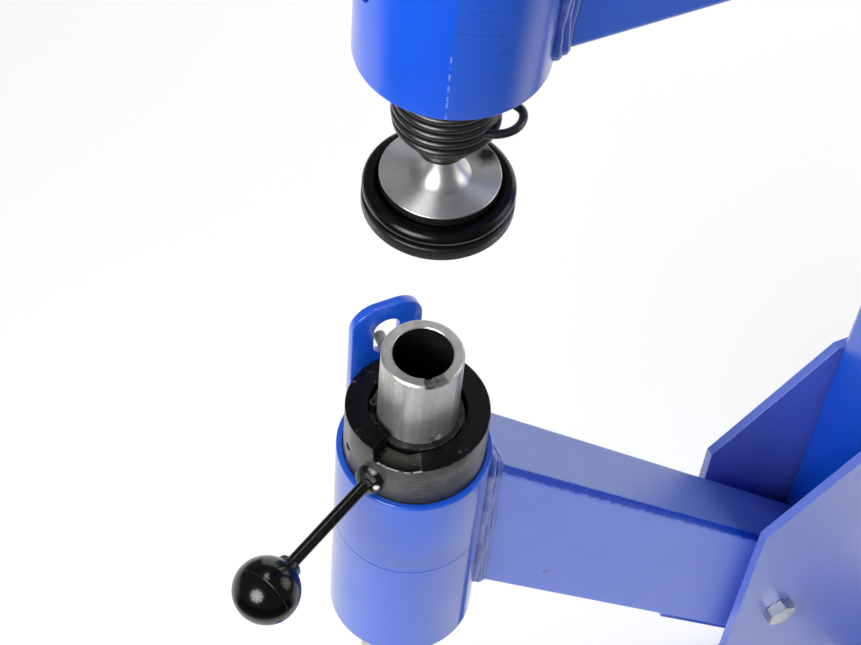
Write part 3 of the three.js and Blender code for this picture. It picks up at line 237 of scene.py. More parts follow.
class Look(Nodes):
    """A material, with short calls for colours, the shared effects and its shader."""

    def __init__(self, name):
        self.material = bpy.data.materials.new(name)
        self.material.use_nodes = True
        super().__init__(self.material.node_tree)

    def effect(self, group, **inputs):
        return self.add("Group", inputs, node_tree=group.tree)["Mask"]

    def cloud(self, scale, low=0.3, high=0.7, stretch=1):
        return self.effect(cloudiness, Scale=scale, Low=low, High=high, Stretch=stretch)

    def grains(self, scale, amount):
        return self.effect(specks, Scale=scale, Amount=amount)

    def worn(self, amount, scale):
        return self.effect(wear, Amount=amount, Scale=scale)

    def mix(self, factor, first, second):
        """Mixes two colours, each a socket, a tuple or a single number for a grey."""
        colours = []
        for colour in (first, second):
            if isinstance(colour, float):
                colour = (colour, colour, colour)
            colours.append((*colour, 1) if isinstance(colour, tuple) else colour)
        return self.add("Mix", {0: factor, 6: colours[0], 7: colours[1]}, data_type="RGBA")[2]

    def over(self, colour, mask, share, other):
        """Lays another colour over the first, by a share of a mask."""
        return self.mix(self.times(mask, share), colour, other)

    def distance(self, place, point):
        return self.add("VectorMath", {0: place, 1: point}, operation="DISTANCE")["Value"]

    def from_axis(self, x, y):
        return self.math("SQRT", self.math("ADD", self.times(x, x), self.times(y, y)))

    def shade(self, colour, roughness, bump, **others):
        """Feeds the shader. The bump is a height, a strength and a distance in millimetres."""
        height, strength, distance = bump
        normal = self.add("Bump", {"Height": height, "Strength": strength, "Distance": distance * MM})["Normal"]
        inputs = {"Base Color": colour, "Roughness": roughness, "Normal": normal}
        for name, value in others.items():
            inputs[name.replace("_", " ").title().replace("Ior", "IOR")] = value
        self.feed(self.tree.nodes["Principled BSDF"], inputs)
        return self.material


def painted(name, colour, paler_tone_and_sheen, gloss=0.08, rough=(0.28, 0.4), coat=1, detail=None):
    """Powder coat between two blues, the second a paler tone that on some pieces is a painted sheen. The detail is a
    function that adds the marks of one piece.
    """
    look = Look(name)
    tint = look.mix(look.cloud(9), colour, paler_tone_and_sheen)
    tint = look.over(tint, look.cloud(38, 0.5, 0.85), 0.1, (0.1, 0.16, 0.45))
    tint = look.over(tint, look.grains(700, 0.02), 0.2, (0.3, 0.36, 0.55))
    tint = look.mix(look.worn(0.4, 260), tint, (0.003, 0.03, 0.34))
    if detail:
        tint = detail(look, tint)
    peel = look.noise(look.place(), 420, 2)
    return look.shade(
        tint, look.ramp(look.cloud(26), *rough), (peel, 0.1, 0.6),
        coat_weight=coat, coat_roughness=1.2 * gloss, coat_ior=1.45)


def varied(name, cloud, colours, rough, bump, dirt=None, **others):
    """A finish that varies between two colours, with grains of dirt."""
    look = Look(name)
    mask = look.cloud(*cloud)
    colour = look.mix(mask, *colours)
    if dirt:
        scale, amount, share, grey = dirt
        colour = look.over(colour, look.grains(scale, amount), share, grey)
    return look.shade(colour, look.ramp(mask, *rough), (mask, *bump), **others)


blue_paint = painted("blue_powder_coat", (0.004, 0.09, 0.66), (0.006, 0.112, 0.76))


def only(piece=None):
    """Leaves edit mode and selects one piece or none."""
    if bpy.context.mode != "OBJECT":
        bpy.ops.object.mode_set(mode="OBJECT")
    bpy.ops.object.select_all(action="DESELECT")
    if piece:
        piece.select_set(True)
        bpy.context.view_layer.objects.active = piece


def edit(piece):
    """Opens a piece in edit mode with all of it selected."""
    only(piece)
    bpy.ops.object.mode_set(mode="EDIT")
    bpy.ops.mesh.select_mode(type="VERT")
    bpy.ops.mesh.select_all(action="SELECT")


def apply_modifier(piece, kind, **settings):
    only(piece)
    modifier = piece.modifiers.new(kind.lower(), kind)
    for name, value in settings.items():
        setattr(modifier, name, value)
    bpy.ops.object.modifier_apply(modifier=modifier.name)


def soften(piece, width, segments=3, angle=35):
    """Rounds the edges of a piece by a width in millimetres."""
    apply_modifier(
        piece, "BEVEL", width=width * MM, segments=segments, limit_method="ANGLE",
        angle_limit=radians(angle))


def at(x, y, z):
    return Matrix.Translation((x, y, z))


def spun(angle, axis):
    return Matrix.Rotation(radians(angle), 4, axis)


def laid(piece, matrix):
    """Places a piece and moves the placing into its mesh."""
    only(piece)
    piece.matrix_world = matrix
    bpy.ops.object.transform_apply(location=True, rotation=True, scale=True)
    return piece


def complete(piece, node, suffix, body, material, smooth=32):
    """Names and shades a finished piece, puts it under its body's empty, and hides the CAD solid it replaces."""
    piece.name = f"{node}_{suffix}"
    only(piece)
    bpy.ops.object.shade_smooth_by_angle(angle=radians(smooth))
    if not piece.data.materials:
        piece.data.materials.append(material)
    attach(piece, body)
    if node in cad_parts:
        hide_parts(node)


def refined(node, suffix, body, material, edge, segments=3):
    """A copy of a CAD solid with merged flats and rounded edges."""
    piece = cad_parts[node].copy()
    piece.data = piece.data.copy()
    piece.data.materials.clear()
    piece.animation_data_clear()
    for key in list(piece.keys()):
        del piece[key]
    piece.parent = None
    piece.matrix_world = Matrix.Identity(4)
    bpy.context.collection.objects.link(piece)
    edit(piece)
    bpy.ops.mesh.remove_doubles(threshold=0.01 * MM)
    bpy.ops.mesh.dissolve_limited(angle_limit=radians(1.5))
    soften(piece, edge, segments)
    complete(piece, node, suffix, body, material)
    apply_modifier(piece, "WEIGHTED_NORMAL", keep_sharp=True, mode="FACE_AREA", weight=100)


def coated(node, edge, segments=3, paint=blue_paint):
    refined(node, "coated", "frame", paint, edge, segments)


SHEET_EDGE = 0.7
TUBE_EDGE = 0.3
coated("front_foot_bar", SHEET_EDGE)
coated("rear_foot_bar", SHEET_EDGE)
coated("spine_beam", TUBE_EDGE, 2)

look = Look("moulded_cap_plastic")
grain = look.cloud(500)
black_plastic = look.shade(look.ramp(grain, 0.012, 0.022), look.ramp(grain, 0.42, 0.58), (grain, 0.15, 0.3))
for cap in ("spine_cap_front", "spine_cap_rear"):
    refined(cap, "moulded", "frame", black_plastic, 0.6)


# Column: an upright box tube with a welded cap and a base flange, held between two side plates.
# The side plates are sawn from steel plate, coated blue and bolted through. Their blue is painted paler, a painted
# sheen.
coated("column_flange", SHEET_EDGE)
coated("column", TUBE_EDGE, 2)
coated("column_cap", 0.5)
# The plates' blue is painted paler than the frame's: painted sheen.
plate_paint = painted("blue_plate_coat_painted_sheen", (0.12, 0.19, 0.68), (0.145, 0.22, 0.78), 0.24, (0.36, 0.46))
for plate in ("side_plate_left", "side_plate_right"):
    coated(plate, 0.8, 3, plate_paint)


# Bolts: hexagon bolts and nuts, cold headed with chamfered corners and rolled threads, zinc plated.
# Three run through both side plates, and four hold the column's flange to the spine.
def select(test, kind="FACE"):
    """In edit mode, selects the vertices, edges or faces whose centre, and for faces normal, pass the test."""
    bpy.ops.mesh.select_mode(type=kind)
    mesh = bmesh.from_edit_mesh(bpy.context.object.data)
    for vertex in mesh.verts if kind == "VERT" else ():
        vertex.select_set(test(vertex.co))
    for edge in mesh.edges if kind == "EDGE" else ():
        edge.select_set(test((edge.verts[0].co + edge.verts[1].co) / 2))
    for face in mesh.faces if kind == "FACE" else ():
        face.select_set(test(face.calc_center_median(), face.normal))
    mesh.select_flush_mode()
    bmesh.update_edit_mesh(bpy.context.object.data)


def extrude(lift, scale=1, height=0):
    """Extrudes the selected ring along Z, and scales it about the axis at a height."""
    bpy.ops.mesh.extrude_region_move(TRANSFORM_OT_translate={"value": (0, 0, lift)})
    if abs(scale - 1) > 1e-7:
        bpy.ops.transform.resize(value=(scale, scale, 1), center_override=(0, 0, height))


def ring(radius, height, segments):
    """A circle about Z, open in edit mode."""
    only()
    bpy.ops.mesh.primitive_circle_add(
        vertices=segments, radius=radius, location=(0, 0, 0), fill_type="NOTHING")
    edit(bpy.context.object)
    bpy.ops.transform.translate(value=(0, 0, height))
    return bpy.context.object


def turned(profile, segments):
    """A turned piece about Z. A profile that starts or ends on the axis is closed there."""
    first, last = profile[0], profile[-1]
    rings = profile[1 if first[0] == 0 else 0:-1 if last[0] == 0 else None]
    radius, height = rings[0]
    piece = ring(radius, height, segments)
    if first[0] == 0:
        extrude(first[1] - height)
        bpy.ops.mesh.merge(type="CENTER")
        bpy.ops.mesh.select_all(action="DESELECT")
        select(lambda centre: centre.xy.length > radius / 2, "VERT")
    for next_radius, next_height in rings[1:]:
        extrude(next_height - height, next_radius / radius, next_height)
        radius, height = next_radius, next_height
    if last[0] == 0:
        extrude(last[1] - height)
        bpy.ops.mesh.merge(type="CENTER")
    bpy.ops.mesh.select_all(action="SELECT")
    bpy.ops.mesh.remove_doubles(threshold=0.0005 * MM)
    bpy.ops.mesh.normals_make_consistent(inside=False)
    only()
    return piece


def rod(radius, low, high, segments=32):
    return turned([(0, low), (radius, low), (radius, high), (0, high)], segments)


def carve(piece, tool, operation="DIFFERENCE"):
    apply_modifier(piece, "BOOLEAN", operation=operation, object=tool, solver="EXACT")
    bpy.data.objects.remove(tool)


zinc = varied(
    "zinc_plate", (130, 0.32, 0.68), ((0.5, 0.52, 0.55), (0.66, 0.66, 0.62)), (0.28, 0.45),
    (0.12, 0.4), (900, 0.12, 0.6, 0.2), metallic=1)

# The corner radius of a hexagon and the chamfer on its corners, as shares of the thread's radius.
HEX_SHARE = 1.75
CHAMFER_SHARE = 0.16


def hexagon(thread_radius, height):
    """A hexagon with chamfered corners that stands on the origin."""
    radius, chamfer = HEX_SHARE * thread_radius, CHAMFER_SHARE * thread_radius
    only()
    bpy.ops.mesh.primitive_cylinder_add(vertices=6, radius=radius, depth=height, location=(0, 0, height / 2))
    head = laid(bpy.context.object, at(0, 0, height / 2))
    flat = radius * cos(pi / 6) - chamfer / 3
    carve(head, turned([
        (0, 0), (flat, 0), (radius + chamfer, chamfer), (radius + chamfer, height - chamfer),
        (flat, height), (0, height),
    ], 48), "INTERSECT")
    return head


def fasten(piece, node, matrix):
    laid(piece, matrix)
    soften(piece, 0.12, 1, 40)
    complete(piece, node, "zinc", "frame", zinc, 30)


def bolt(node, matrix, radius, head_height, tip, pitch):
    """A bolt with its head on the origin and its thread down to the tip."""
    head = hexagon(radius, head_height)
    profile = [(0, tip), (radius - 0.6 * pitch, tip)]
    height = tip + 0.4 * pitch
    while height + pitch < head_height / 2:
        profile += [(radius, height), (radius - 0.45 * pitch, height + pitch / 2)]
        height += pitch
    profile += [(radius, height), (radius, head_height / 2), (0, head_height / 2)]
    carve(head, turned(profile, 32), "UNION")
    fasten(head, node, matrix)


def nut(node, matrix, radius, height):
    body = hexagon(radius, height)
    carve(body, rod(radius + 0.3 * MM, -height, 2 * height))
    fasten(body, node, matrix)


FLANGE_BOLT_HEAD = 5.3 * MM
SIDE_BOLT_HEAD = 7.5 * MM
for number in (1, 2, 3, 4):
    low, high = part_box(f"flange_bolt_{number}")
    centre = (low + high) / 2
    seat = high.z - FLANGE_BOLT_HEAD
    bolt(f"flange_bolt_{number}", at(centre.x, centre.y, seat), 4 * MM,
         FLANGE_BOLT_HEAD, low.z - seat, 1.25 * MM)
    low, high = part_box(f"flange_nut_{number}")
    nut(f"flange_nut_{number}", at(centre.x, centre.y, low.z), 4 * MM, high.z - low.z)
for number in (1, 2, 3):
    low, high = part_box(f"side_bolt_{number}")
    centre = (low + high) / 2
    seat = low.y + SIDE_BOLT_HEAD
    to_side = at(centre.x, seat, centre.z) @ spun(90, "X")
    bolt(f"side_bolt_{number}", to_side, 6 * MM, SIDE_BOLT_HEAD, seat - high.y, 1.75 * MM)
    low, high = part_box(f"side_nut_{number}")
    to_side = at(centre.x, low.y, centre.z) @ spun(-90, "X")
    nut(f"side_nut_{number}", to_side, 6 * MM, high.y - low.y)
for side in ("left", "right"):
    refined(f"arm_spacer_{side}", "zinc", "frame", zinc, 0.5)


# Arms: two lengths of box tube, one level and one at 45 degrees, notched round the sleeves by saw.
# They are welded to the sleeves and to the column before the coat goes on.
# The chip is a small one in the coat, low on the front of the arm.
ARM_CHIP = Vector((80.5 * MM, -23.4 * MM, DATUM - 146.5 * MM))


def ragged_edge(look, colour):
    """Deep blue along the rounded corner between the top and the front of the arm: partly a thick run of paint, partly
    a painted dark reflection.
    """
    place = look.place()
    normal = look.add("SeparateXYZ", {"Vector": look.add("NewGeometry")["Normal"]})
    rag = look.noise(place, 160, 4)
    front = look.math("ADD", normal["Y"], look.times(rag, 0.3))
    upward = look.math("GREATER_THAN", normal["Z"], 0.05)
    band = look.times(look.fade(front, -0.8, -0.7), look.fade(front, 0.02, -0.05), upward)
    coat_share_and_weld_highlight = look.math("SUBTRACT", 1, band)
    look.feed(look.tree.nodes["Principled BSDF"], {"Coat Weight": coat_share_and_weld_highlight})
    # The top face is painted a greyer blue, a painted shade.
    top = look.math("GREATER_THAN", normal["Z"], 0.6)
    colour = look.over(colour, top, 0.85, (0.115, 0.2, 0.58))
    away = look.math("ADD", look.distance(place, ARM_CHIP), look.times(rag, 9 * MM))
    colour = look.over(colour, look.math("LESS_THAN", away, 6.3 * MM), 0.6, (0.09, 0.07, 0.22))
    # The band's deep blue is partly a thick run of paint and partly a painted dark reflection.
    colour = look.mix(band, colour, (0.0008, 0.062, 0.62))
    # Pale specks along the band are painted glints.
    painted_glints = look.times(look.grains(330, 0.14), band)
    return look.over(colour, painted_glints, 0.6, (0.14, 0.36, 0.9))


# The lower arm's blues are painted far paler than the rest of the frame: a painted sheen.
coated("lower_arm", TUBE_EDGE, 2, painted(
    "blue_lower_arm_coat_painted_sheen", (0.14, 0.24, 0.9), (0.165, 0.275, 0.97), 0.46, (0.46, 0.56), detail=ragged_edge))
coated("upper_arm", TUBE_EDGE, 2, painted(
    "blue_arm_coat", (0.006, 0.09, 0.6), (0.01, 0.115, 0.7), 0.24, (0.4, 0.5)))


# Sleeves: turned steel rings that end the arms. The lower one guides the anvil and has a rounded rim.
# The upper one clamps the air hammer with two set screws in tapped holes.
def arc(centre_radius, centre_height, radius, start, end, steps):
    points = []
    for step in range(steps + 1):
        angle = radians(start + (end - start) * step / steps)
        points.append((centre_radius + radius * cos(angle), centre_height + radius * sin(angle)))
    return points


SLEEVE = 40 * MM
low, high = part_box("lower_sleeve")
bore = SLEEVE - 3.3 * MM
rim, lip = 1.3 * MM, 0.5 * MM
scribe = DATUM - 61.3 * MM
profile = [(bore, low.z), (SLEEVE - 0.6 * MM, low.z), (SLEEVE, low.z + 0.6 * MM)]
profile += [(SLEEVE, scribe - 0.35 * MM), (SLEEVE - 0.2 * MM, scribe)]
profile += [(SLEEVE, scribe + 0.35 * MM)]
profile += arc(SLEEVE - rim, high.z - rim, rim, 0, 90, 8)
profile += arc(bore + lip, high.z - lip, lip, 90, 180, 4)
lower_sleeve = turned(profile + [(bore, low.z)], 160)


def scuffed(look, colour):
    """Grey scuffs in the coat of the lower sleeve, in a band over the scribed line."""
    height = look.coordinates()[3]
    below = look.fade(height, DATUM - 36 * MM, DATUM - 50 * MM)
    band = look.times(look.fade(height, scribe, scribe + 4 * MM), below)
    rubs = look.times(look.cloud(55, 0.42, 0.72), band)
    colour = look.over(colour, rubs, 0.5, (0.06, 0.105, 0.36))
    return look.over(colour, look.times(look.grains(420, 0.05), band), 0.6, (0.01, 0.03, 0.16))


complete(lower_sleeve, "lower_sleeve", "coated", "frame", painted(
    "blue_lower_sleeve_coat", (0.004, 0.09, 0.66), (0.006, 0.112, 0.76), detail=scuffed), 28)

SEAM_AZIMUTH = radians(-119)
SEAM_TOP = DATUM + 319 * MM
# Start and end azimuth in degrees, height and slope in metres, of each scratch.
SLEEVE_SCRATCHES = ((-119.5, -89, 0.3294, -0.0037), (-94, -84, 0.3164, -0.0016), (-110, -97, 0.3385, 0.0014))


def seam_and_painted_shade(look, colour):
    """A pale broken seam down the front of the sleeve, with the coat to its right painted duller as painted shade."""
    place, x, y, z = look.coordinates()
    facing = look.math("ARCTAN2", y, x)
    past = look.math("SUBTRACT", facing, SEAM_AZIMUTH)
    # Right of the seam the blue is painted duller: painted shade.
    shaded_side = look.times(look.fade(past, 0, 0.03), look.fade(past, 1.1, 0.7), 0.5)
    colour = look.mix(shaded_side, colour, (0.03, 0.095, 0.44))
    for start, end, height, slope in SLEEVE_SCRATCHES:
        along = look.fade(facing, radians(start), radians(end))
        level = look.math("ADD", DATUM + height, look.times(along, slope))
        off = look.math("ABSOLUTE", look.math("SUBTRACT", z, level))
        mark = look.times(look.between(along, 0, 1), look.math("LESS_THAN", off, 0.22 * MM))
        colour = look.over(colour, mark, 0.45, (0.004, 0.03, 0.22))
    line = look.fade(look.math("ABSOLUTE", past), 0.013, 0.005)
    lengths = look.add("TexNoise", noise_dimensions="1D", inputs={"W": z, "Scale": 330, "Detail": 1})["Fac"]
    beads = look.times(line, look.fade(lengths, 0.44, 0.56), look.math("LESS_THAN", z, SEAM_TOP))
    return look.over(colour, beads, 0.5, (0.3, 0.45, 0.8))


low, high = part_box("upper_sleeve")
sleeve_end = low.z
bore = 25.3 * MM
lip = 0.4 * MM
profile = [(bore, low.z + lip), (bore + lip, low.z)]
profile += arc(SLEEVE - MM, low.z + MM, MM, -90, 0, 6)
profile += arc(SLEEVE - MM, high.z - MM, MM, 0, 90, 6)
profile += [(bore + lip, high.z), (bore, high.z - lip), (bore, low.z + lip)]
upper_sleeve = turned(profile, 160)
THREAD_RADIUS = 4.3 * MM
MOUTH_RADIUS = 5 * MM
reach = SLEEVE + 3 * MM
for number in (1, 2):
    low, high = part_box(f"set_screw_{number}")
    hole = turned([
        (0, 0), (THREAD_RADIUS, 0), (THREAD_RADIUS, reach - 3.6 * MM), (MOUTH_RADIUS, reach - 2.9 * MM),
        (MOUTH_RADIUS, reach + 2 * MM), (0, reach + 2 * MM)], 48)
    middle = at(0, 0, (low.z + high.z) / 2)
    carve(upper_sleeve, laid(hole, middle @ spun(-90, "Y")))
complete(upper_sleeve, "upper_sleeve", "coated", "frame", painted(
    "blue_sleeve_coat_painted_shade", (0.002, 0.08, 0.66), (0.004, 0.098, 0.76), 0.1, (0.2, 0.28), 0.07, seam_and_painted_shade), 28)

ARM_WIDTH = 46.8 * MM
ARM_HEIGHT = 83.1 * MM
ARM_CORNER = 5 * MM
LOWER_ARM_LINE = DATUM - 32.55 * MM
WELD_WANDER = 0.5 * MM
# Name, radius, distance from the sleeve and spacing of points in millimetres, and seed, of each run of weld.
WELD_RUNS = (("root", 3.1, 0.2, 1.3, 1), ("fill", 2.2, 2.9, 1.2, 2.5), ("cap", 1.4, 5, 1.1, 4))


def arm_outline():
    points = []
    width, height = ARM_WIDTH / 2 - ARM_CORNER, ARM_HEIGHT / 2 - ARM_CORNER
    for across, over, start in ((1, 1, 0), (-1, 1, 90), (-1, -1, 180), (1, -1, 270)):
        points += arc(across * width, over * height, ARM_CORNER, start, start + 90, 10)
    return points


def resampled(points, spacing):
    """Evenly spaced points round a closed path."""
    closed = [Vector(point) for point in points + points[:1]]
    lengths = [(b - a).length for a, b in zip(closed, closed[1:])]
    total = sum(lengths)
    count = int(total / spacing)
    result = []
    for step in range(count):
        target = total * step / count
        for a, b, length in zip(closed, closed[1:], lengths):
            if target <= length:
                result.append(a.lerp(b, target / length))
                break
            target -= length
    return result


def wire(name, path, radius, swells=None):
    """A round wire along a path. Swells, one for each point, make it an uneven closed ring."""
    curve = bpy.data.curves.new(name, "CURVE")
    curve.dimensions = "3D"
    curve.bevel_depth = radius
    curve.bevel_resolution = 5
    curve.use_fill_caps = not swells
    spline = curve.splines.new("POLY")
    spline.points.add(len(path) - 1)
    for point, place, swell in zip(spline.points, path, swells or [1] * len(path)):
        point.co = (*place, 1)
        point.radius = swell
    spline.use_cyclic_u = bool(swells)
    piece = bpy.data.objects.new(name, curve)
    bpy.context.collection.objects.link(piece)
    only(piece)
    bpy.ops.object.convert(target="MESH")
    return bpy.context.object


def weld_bead(node, run, path, radius, seed):
    """A run of weld round a closed path, uneven in width and place, coated with the frame."""
    places, swells = [], []
    for index, place in enumerate(path):
        turn = 2 * pi * index / len(path)
        shift = Vector((sin(5 * turn + seed), 0.5 * sin(8 * turn + 2 * seed), 0))
        places.append(place + shift * WELD_WANDER)
        swells.append(1 + sin(23 * turn + seed) * 0.04 + sin(7 * turn + 2 * seed) * 0.1)
    complete(wire(node, places, radius, swells), node, run, "frame", weld_paint, 60)


weld_paint = painted("blue_weld_coat", (0.02, 0.085, 0.5), (0.06, 0.14, 0.66), 0.2, (0.34, 0.48))
upper_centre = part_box("upper_arm")[0].z + ARM_HEIGHT / 2
for run, radius, setback, spacing, seed in WELD_RUNS:
    reach = SLEEVE + setback * MM
    lower_path, upper_path = [], []
    for across, over in arm_outline():
        x = sqrt(reach ** 2 - across ** 2)
        lower_path.append((x, across, LOWER_ARM_LINE - x + sqrt(2) * over))
        upper_path.append((x, across, upper_centre + over))
    weld_bead("lower_arm_weld", run, resampled(lower_path, spacing * MM), radius * MM, seed)
    weld_bead("upper_arm_weld", run, resampled(upper_path, spacing * MM), radius * MM, 2 * seed)


# Guide tab: a slotted plate welded inside the lower sleeve, which keeps the anvil's pin from turning.
# It is sawn from 5 mm steel, with two large rounded corners, and coated with the sleeve.
def block(low, high, corner=0, segments=0, test=None):
    """A box between two corners. Edges whose middle passes the test are rounded."""
    only()
    bpy.ops.mesh.primitive_cube_add(size=1, location=(0, 0, 0))
    piece = bpy.context.object
    edit(piece)
    bpy.ops.transform.resize(value=Vector(high) - Vector(low), center_override=(0, 0, 0))
    bpy.ops.transform.translate(value=(Vector(low) + Vector(high)) / 2)
    if test:
        select(test, "EDGE")
        bpy.ops.mesh.bevel(offset=corner, segments=segments, affect="EDGES")
    only()
    return piece


TAB_CORNER = 14 * MM
SLOT_RADIUS = 7 * MM
SLOT_LOW = DATUM + 28 * MM
SLOT_HIGH = DATUM + 54.5 * MM
low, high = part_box("guide_tab")
centre = (low + high) / 2


def beside(place):
    """True for an edge that runs through the plate, left or right of its middle."""
    return abs(place.y - centre.y) < MM and abs(place.x - centre.x) > MM


tab = block(low, high, TAB_CORNER, 20, lambda place: beside(place) and place.z > high.z - MM)
carve(tab, block(
    (centre.x - SLOT_RADIUS, low.y - 5 * MM, SLOT_LOW), (centre.x + SLOT_RADIUS, high.y + 5 * MM, SLOT_HIGH),
    SLOT_RADIUS - 0.02 * MM, 16, beside))
soften(tab, 0.7, 3, 40)
complete(tab, "guide_tab", "coated", "frame", blue_paint)


# Guide bush: a turned steel boss in the lower sleeve, blackened, in which the anvil tube slides.
# It is fixed in the sleeve by its flange and stays still while the cam turns round it.
def blackened(name, dark, light, roughness, scale=60, scratch=0.5, shine=0.45, grain=0.12):
    """Black oxide between two greys, with paler specks and rubbed edges."""
    look = Look(name)
    fine = look.cloud(7 * scale, 0.35, 0.7)
    colour = look.mix(look.cloud(scale, 0.42, 0.75), dark, light)
    colour = look.over(colour, look.grains(520, 0.035), scratch, (0.35, 0.34, 0.32))
    colour = look.mix(look.worn(scratch, 700), colour, (0.3, 0.29, 0.27))
    return look.shade(
        colour, look.ramp(fine, roughness - 0.08, roughness + 0.1), (fine, grain, 0.4), specular_ior_level=shine)


black_oxide = blackened("black_oxide_steel", 0.005, (0.014, 0.013, 0.011), 0.36, 60, 0.25)
refined("guide_bush", "blackened", "frame", black_oxide, 0.4)


# Cam ring: a turned and milled steel ring whose stepped ramps lift the anvil's pin as it is turned.
# The top is left black from heat treatment, and the side is turned bright, with grooves in its lower part.
CAM_RADIUS = 36.3 * MM
CAM_BORE = 25 * MM
CAM_LOW = 27.4 * MM
CAM_RISE = 10 * MM
CAM_STEP = -151.4
# Share of a whole turn, and share of the rise, at each corner of the ramps.
CAM_SHARES = (
    (0, 0), (0.083, 0), (0.115, 0.27), (0.2, 0.46), (0.36, 0.56),
    (0.499, 0.65), (0.501, 0), (0.5556, 0), (0.999, 1), (1, 0),
)


def cam_height(azimuth):
    turn = ((azimuth - CAM_STEP) % 360) / 360
    for (start, low), (end, high) in zip(CAM_SHARES, CAM_SHARES[1:]):
        if turn <= end:
            return CAM_LOW + CAM_RISE * (low + (high - low) * (turn - start) / (end - start))


GROOVE_PITCH = 1.9 * MM
look = Look("turned_cam_side")
place, x, y, z = look.coordinates()
facing = look.math("ARCTAN2", y, x)
wobble = look.noise(place, 30, 2)
height = look.math("ADD", z, look.times(wobble, 0.6 * MM))
lines = look.math("SINE", look.times(height, 2 * pi / GROOVE_PITCH))
below = look.fade(z, DATUM + 22.5 * MM, DATUM + 19 * MM)
from_front = look.math("ABSOLUTE", look.math("ADD", facing, 1.35))
grooves = look.times(lines, look.times(below, look.fade(from_front, 1.2, 0.6)))
patches = look.cloud(90, 0.35, 0.7)
fine = look.cloud(500, 0.3, 0.75, 4)
colour = look.mix(patches, (0.16, 0.155, 0.15), (0.29, 0.285, 0.275))
colour = look.over(colour, fine, 0.6, 0.06)
colour = look.mix(look.fade(facing, -1.25, -0.75, 0, 0.4), colour, (0.44, 0.43, 0.42))
colour = look.over(colour, look.grains(440, 0.11), 0.3, (0.5, 0.5, 0.48))
colour = look.mix(look.fade(grooves, 0.2, 1, 0, 0.65), colour, 0.05)
relief = look.math("SUBTRACT", look.times(fine, 0.45), grooves)
cam_side = look.shade(colour, look.ramp(patches, 0.36, 0.5), (relief, 0.35, 0.3), metallic=0.75)

# The low sector of the top is rubbed bare by the pin, most on the inside, between two azimuths in degrees.
RUBBED_FROM = -148
RUBBED_TO = -111
RUBBED_LINE = radians(112)
look = Look("scaled_cam_top")
place, x, y, z = look.coordinates()
facing = look.math("ARCTAN2", y, x)
distance = look.from_axis(x, y)
fine = look.cloud(600, 0.35, 0.7)
sector = look.between(facing, radians(RUBBED_FROM), radians(RUBBED_TO))
worn_through = look.times(look.fade(distance, 34 * MM, 27 * MM), look.fade(fine, 0, 1, 0.45, 1))
colour = look.mix(look.cloud(110, 0.55, 0.85), 0.0025, (0.02, 0.016, 0.01))
colour = look.over(colour, look.grains(380, 0.06), 0.4, (0.16, 0.14, 0.11))
waves = look.add("TexWave", {
    "Vector": place, "Scale": 38, "Distortion": 9, "Detail": 3, "Detail Scale": 1.6,
}, bands_direction="DIAGONAL")["Fac"]
scratched = look.times(look.fade(waves, 0.985, 1), look.cloud(55, 0.56, 0.66))
colour = look.over(colour, scratched, 0.6, (0.3, 0.3, 0.28))
colour = look.mix(look.times(sector, worn_through), colour, (0.085, 0.08, 0.07))
outermost = look.times(sector, look.math("GREATER_THAN", distance, 35.3 * MM))
colour = look.over(colour, outermost, look.cloud(260, 0.42, 0.52), (0.42, 0.41, 0.39))
off_line = look.math("ABSOLUTE", look.math("ADD", facing, RUBBED_LINE))
colour = look.over(colour, look.math("LESS_THAN", off_line, 0.022), 0.18, (0.12, 0.115, 0.1))
outer = look.math("GREATER_THAN", distance, 30 * MM)
colour = look.over(colour, look.worn(0.8, 300), outer, (0.35, 0.34, 0.32))
cam_top = look.shade(colour, look.ramp(fine, 0.3, 0.44), (fine, 0.3, 0.4), specular_ior_level=0.19)


def outward(azimuth, height, distance=0):
    """Points a piece made along Z out from the hammer axis, at an azimuth in degrees."""
    turn = spun(azimuth, "Z") @ spun(90, "Y")
    return at(0, 0, height) @ turn @ at(0, 0, distance)


def assign(piece, slot, test):
    """Gives the faces that pass the test one of the piece's materials."""
    only(piece)
    bpy.ops.object.mode_set(mode="EDIT")
    select(test)
    piece.active_material_index = slot
    bpy.ops.object.material_slot_assign()
    only()


STATIONS = 360
BLANK_HEIGHT = 10 * MM
# The lever's azimuth in degrees, and its height.
LEVER = (-151.5, DATUM + 12.6 * MM)
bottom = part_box("cam_ring")[0].z
half_way = bottom + BLANK_HEIGHT / 2
cam_ring = ring(CAM_BORE, bottom, STATIONS)
extrude(0, CAM_RADIUS / CAM_BORE, bottom)
extrude(BLANK_HEIGHT)
extrude(0, CAM_BORE / CAM_RADIUS, bottom)
extrude(-BLANK_HEIGHT)
bpy.ops.mesh.select_all(action="SELECT")
bpy.ops.mesh.remove_doubles(threshold=0.001 * MM)


def on_station(place):
    off = degrees(atan2(place.y, place.x)) - azimuth
    return place.z > half_way and abs((off + 180) % 360 - 180) < 0.17


for station in range(STATIONS):
    azimuth = station * 360 / STATIONS
    select(on_station, "VERT")
    bpy.ops.transform.translate(value=(0, 0, DATUM + cam_height(azimuth) - bottom - BLANK_HEIGHT))
bpy.ops.mesh.select_all(action="SELECT")
bpy.ops.mesh.normals_make_consistent(inside=False)
only()
for material in (cam_side, cam_top):
    cam_ring.data.materials.append(material)
carve(cam_ring, laid(rod(3.5 * MM, 29.3 * MM, 42 * MM), outward(*LEVER)))
carve(cam_ring, laid(rod(2.4 * MM, 31.3 * MM, 42 * MM), outward(176, DATUM + 15 * MM)))
assign(cam_ring, 1, lambda place, normal:
       normal.z > 0.6 and place.z > half_way or place.xy.length < CAM_RADIUS - MM)
soften(cam_ring, 0.35, 2, 40)
complete(cam_ring, "cam_ring", "machined", "cam", cam_side, 30)


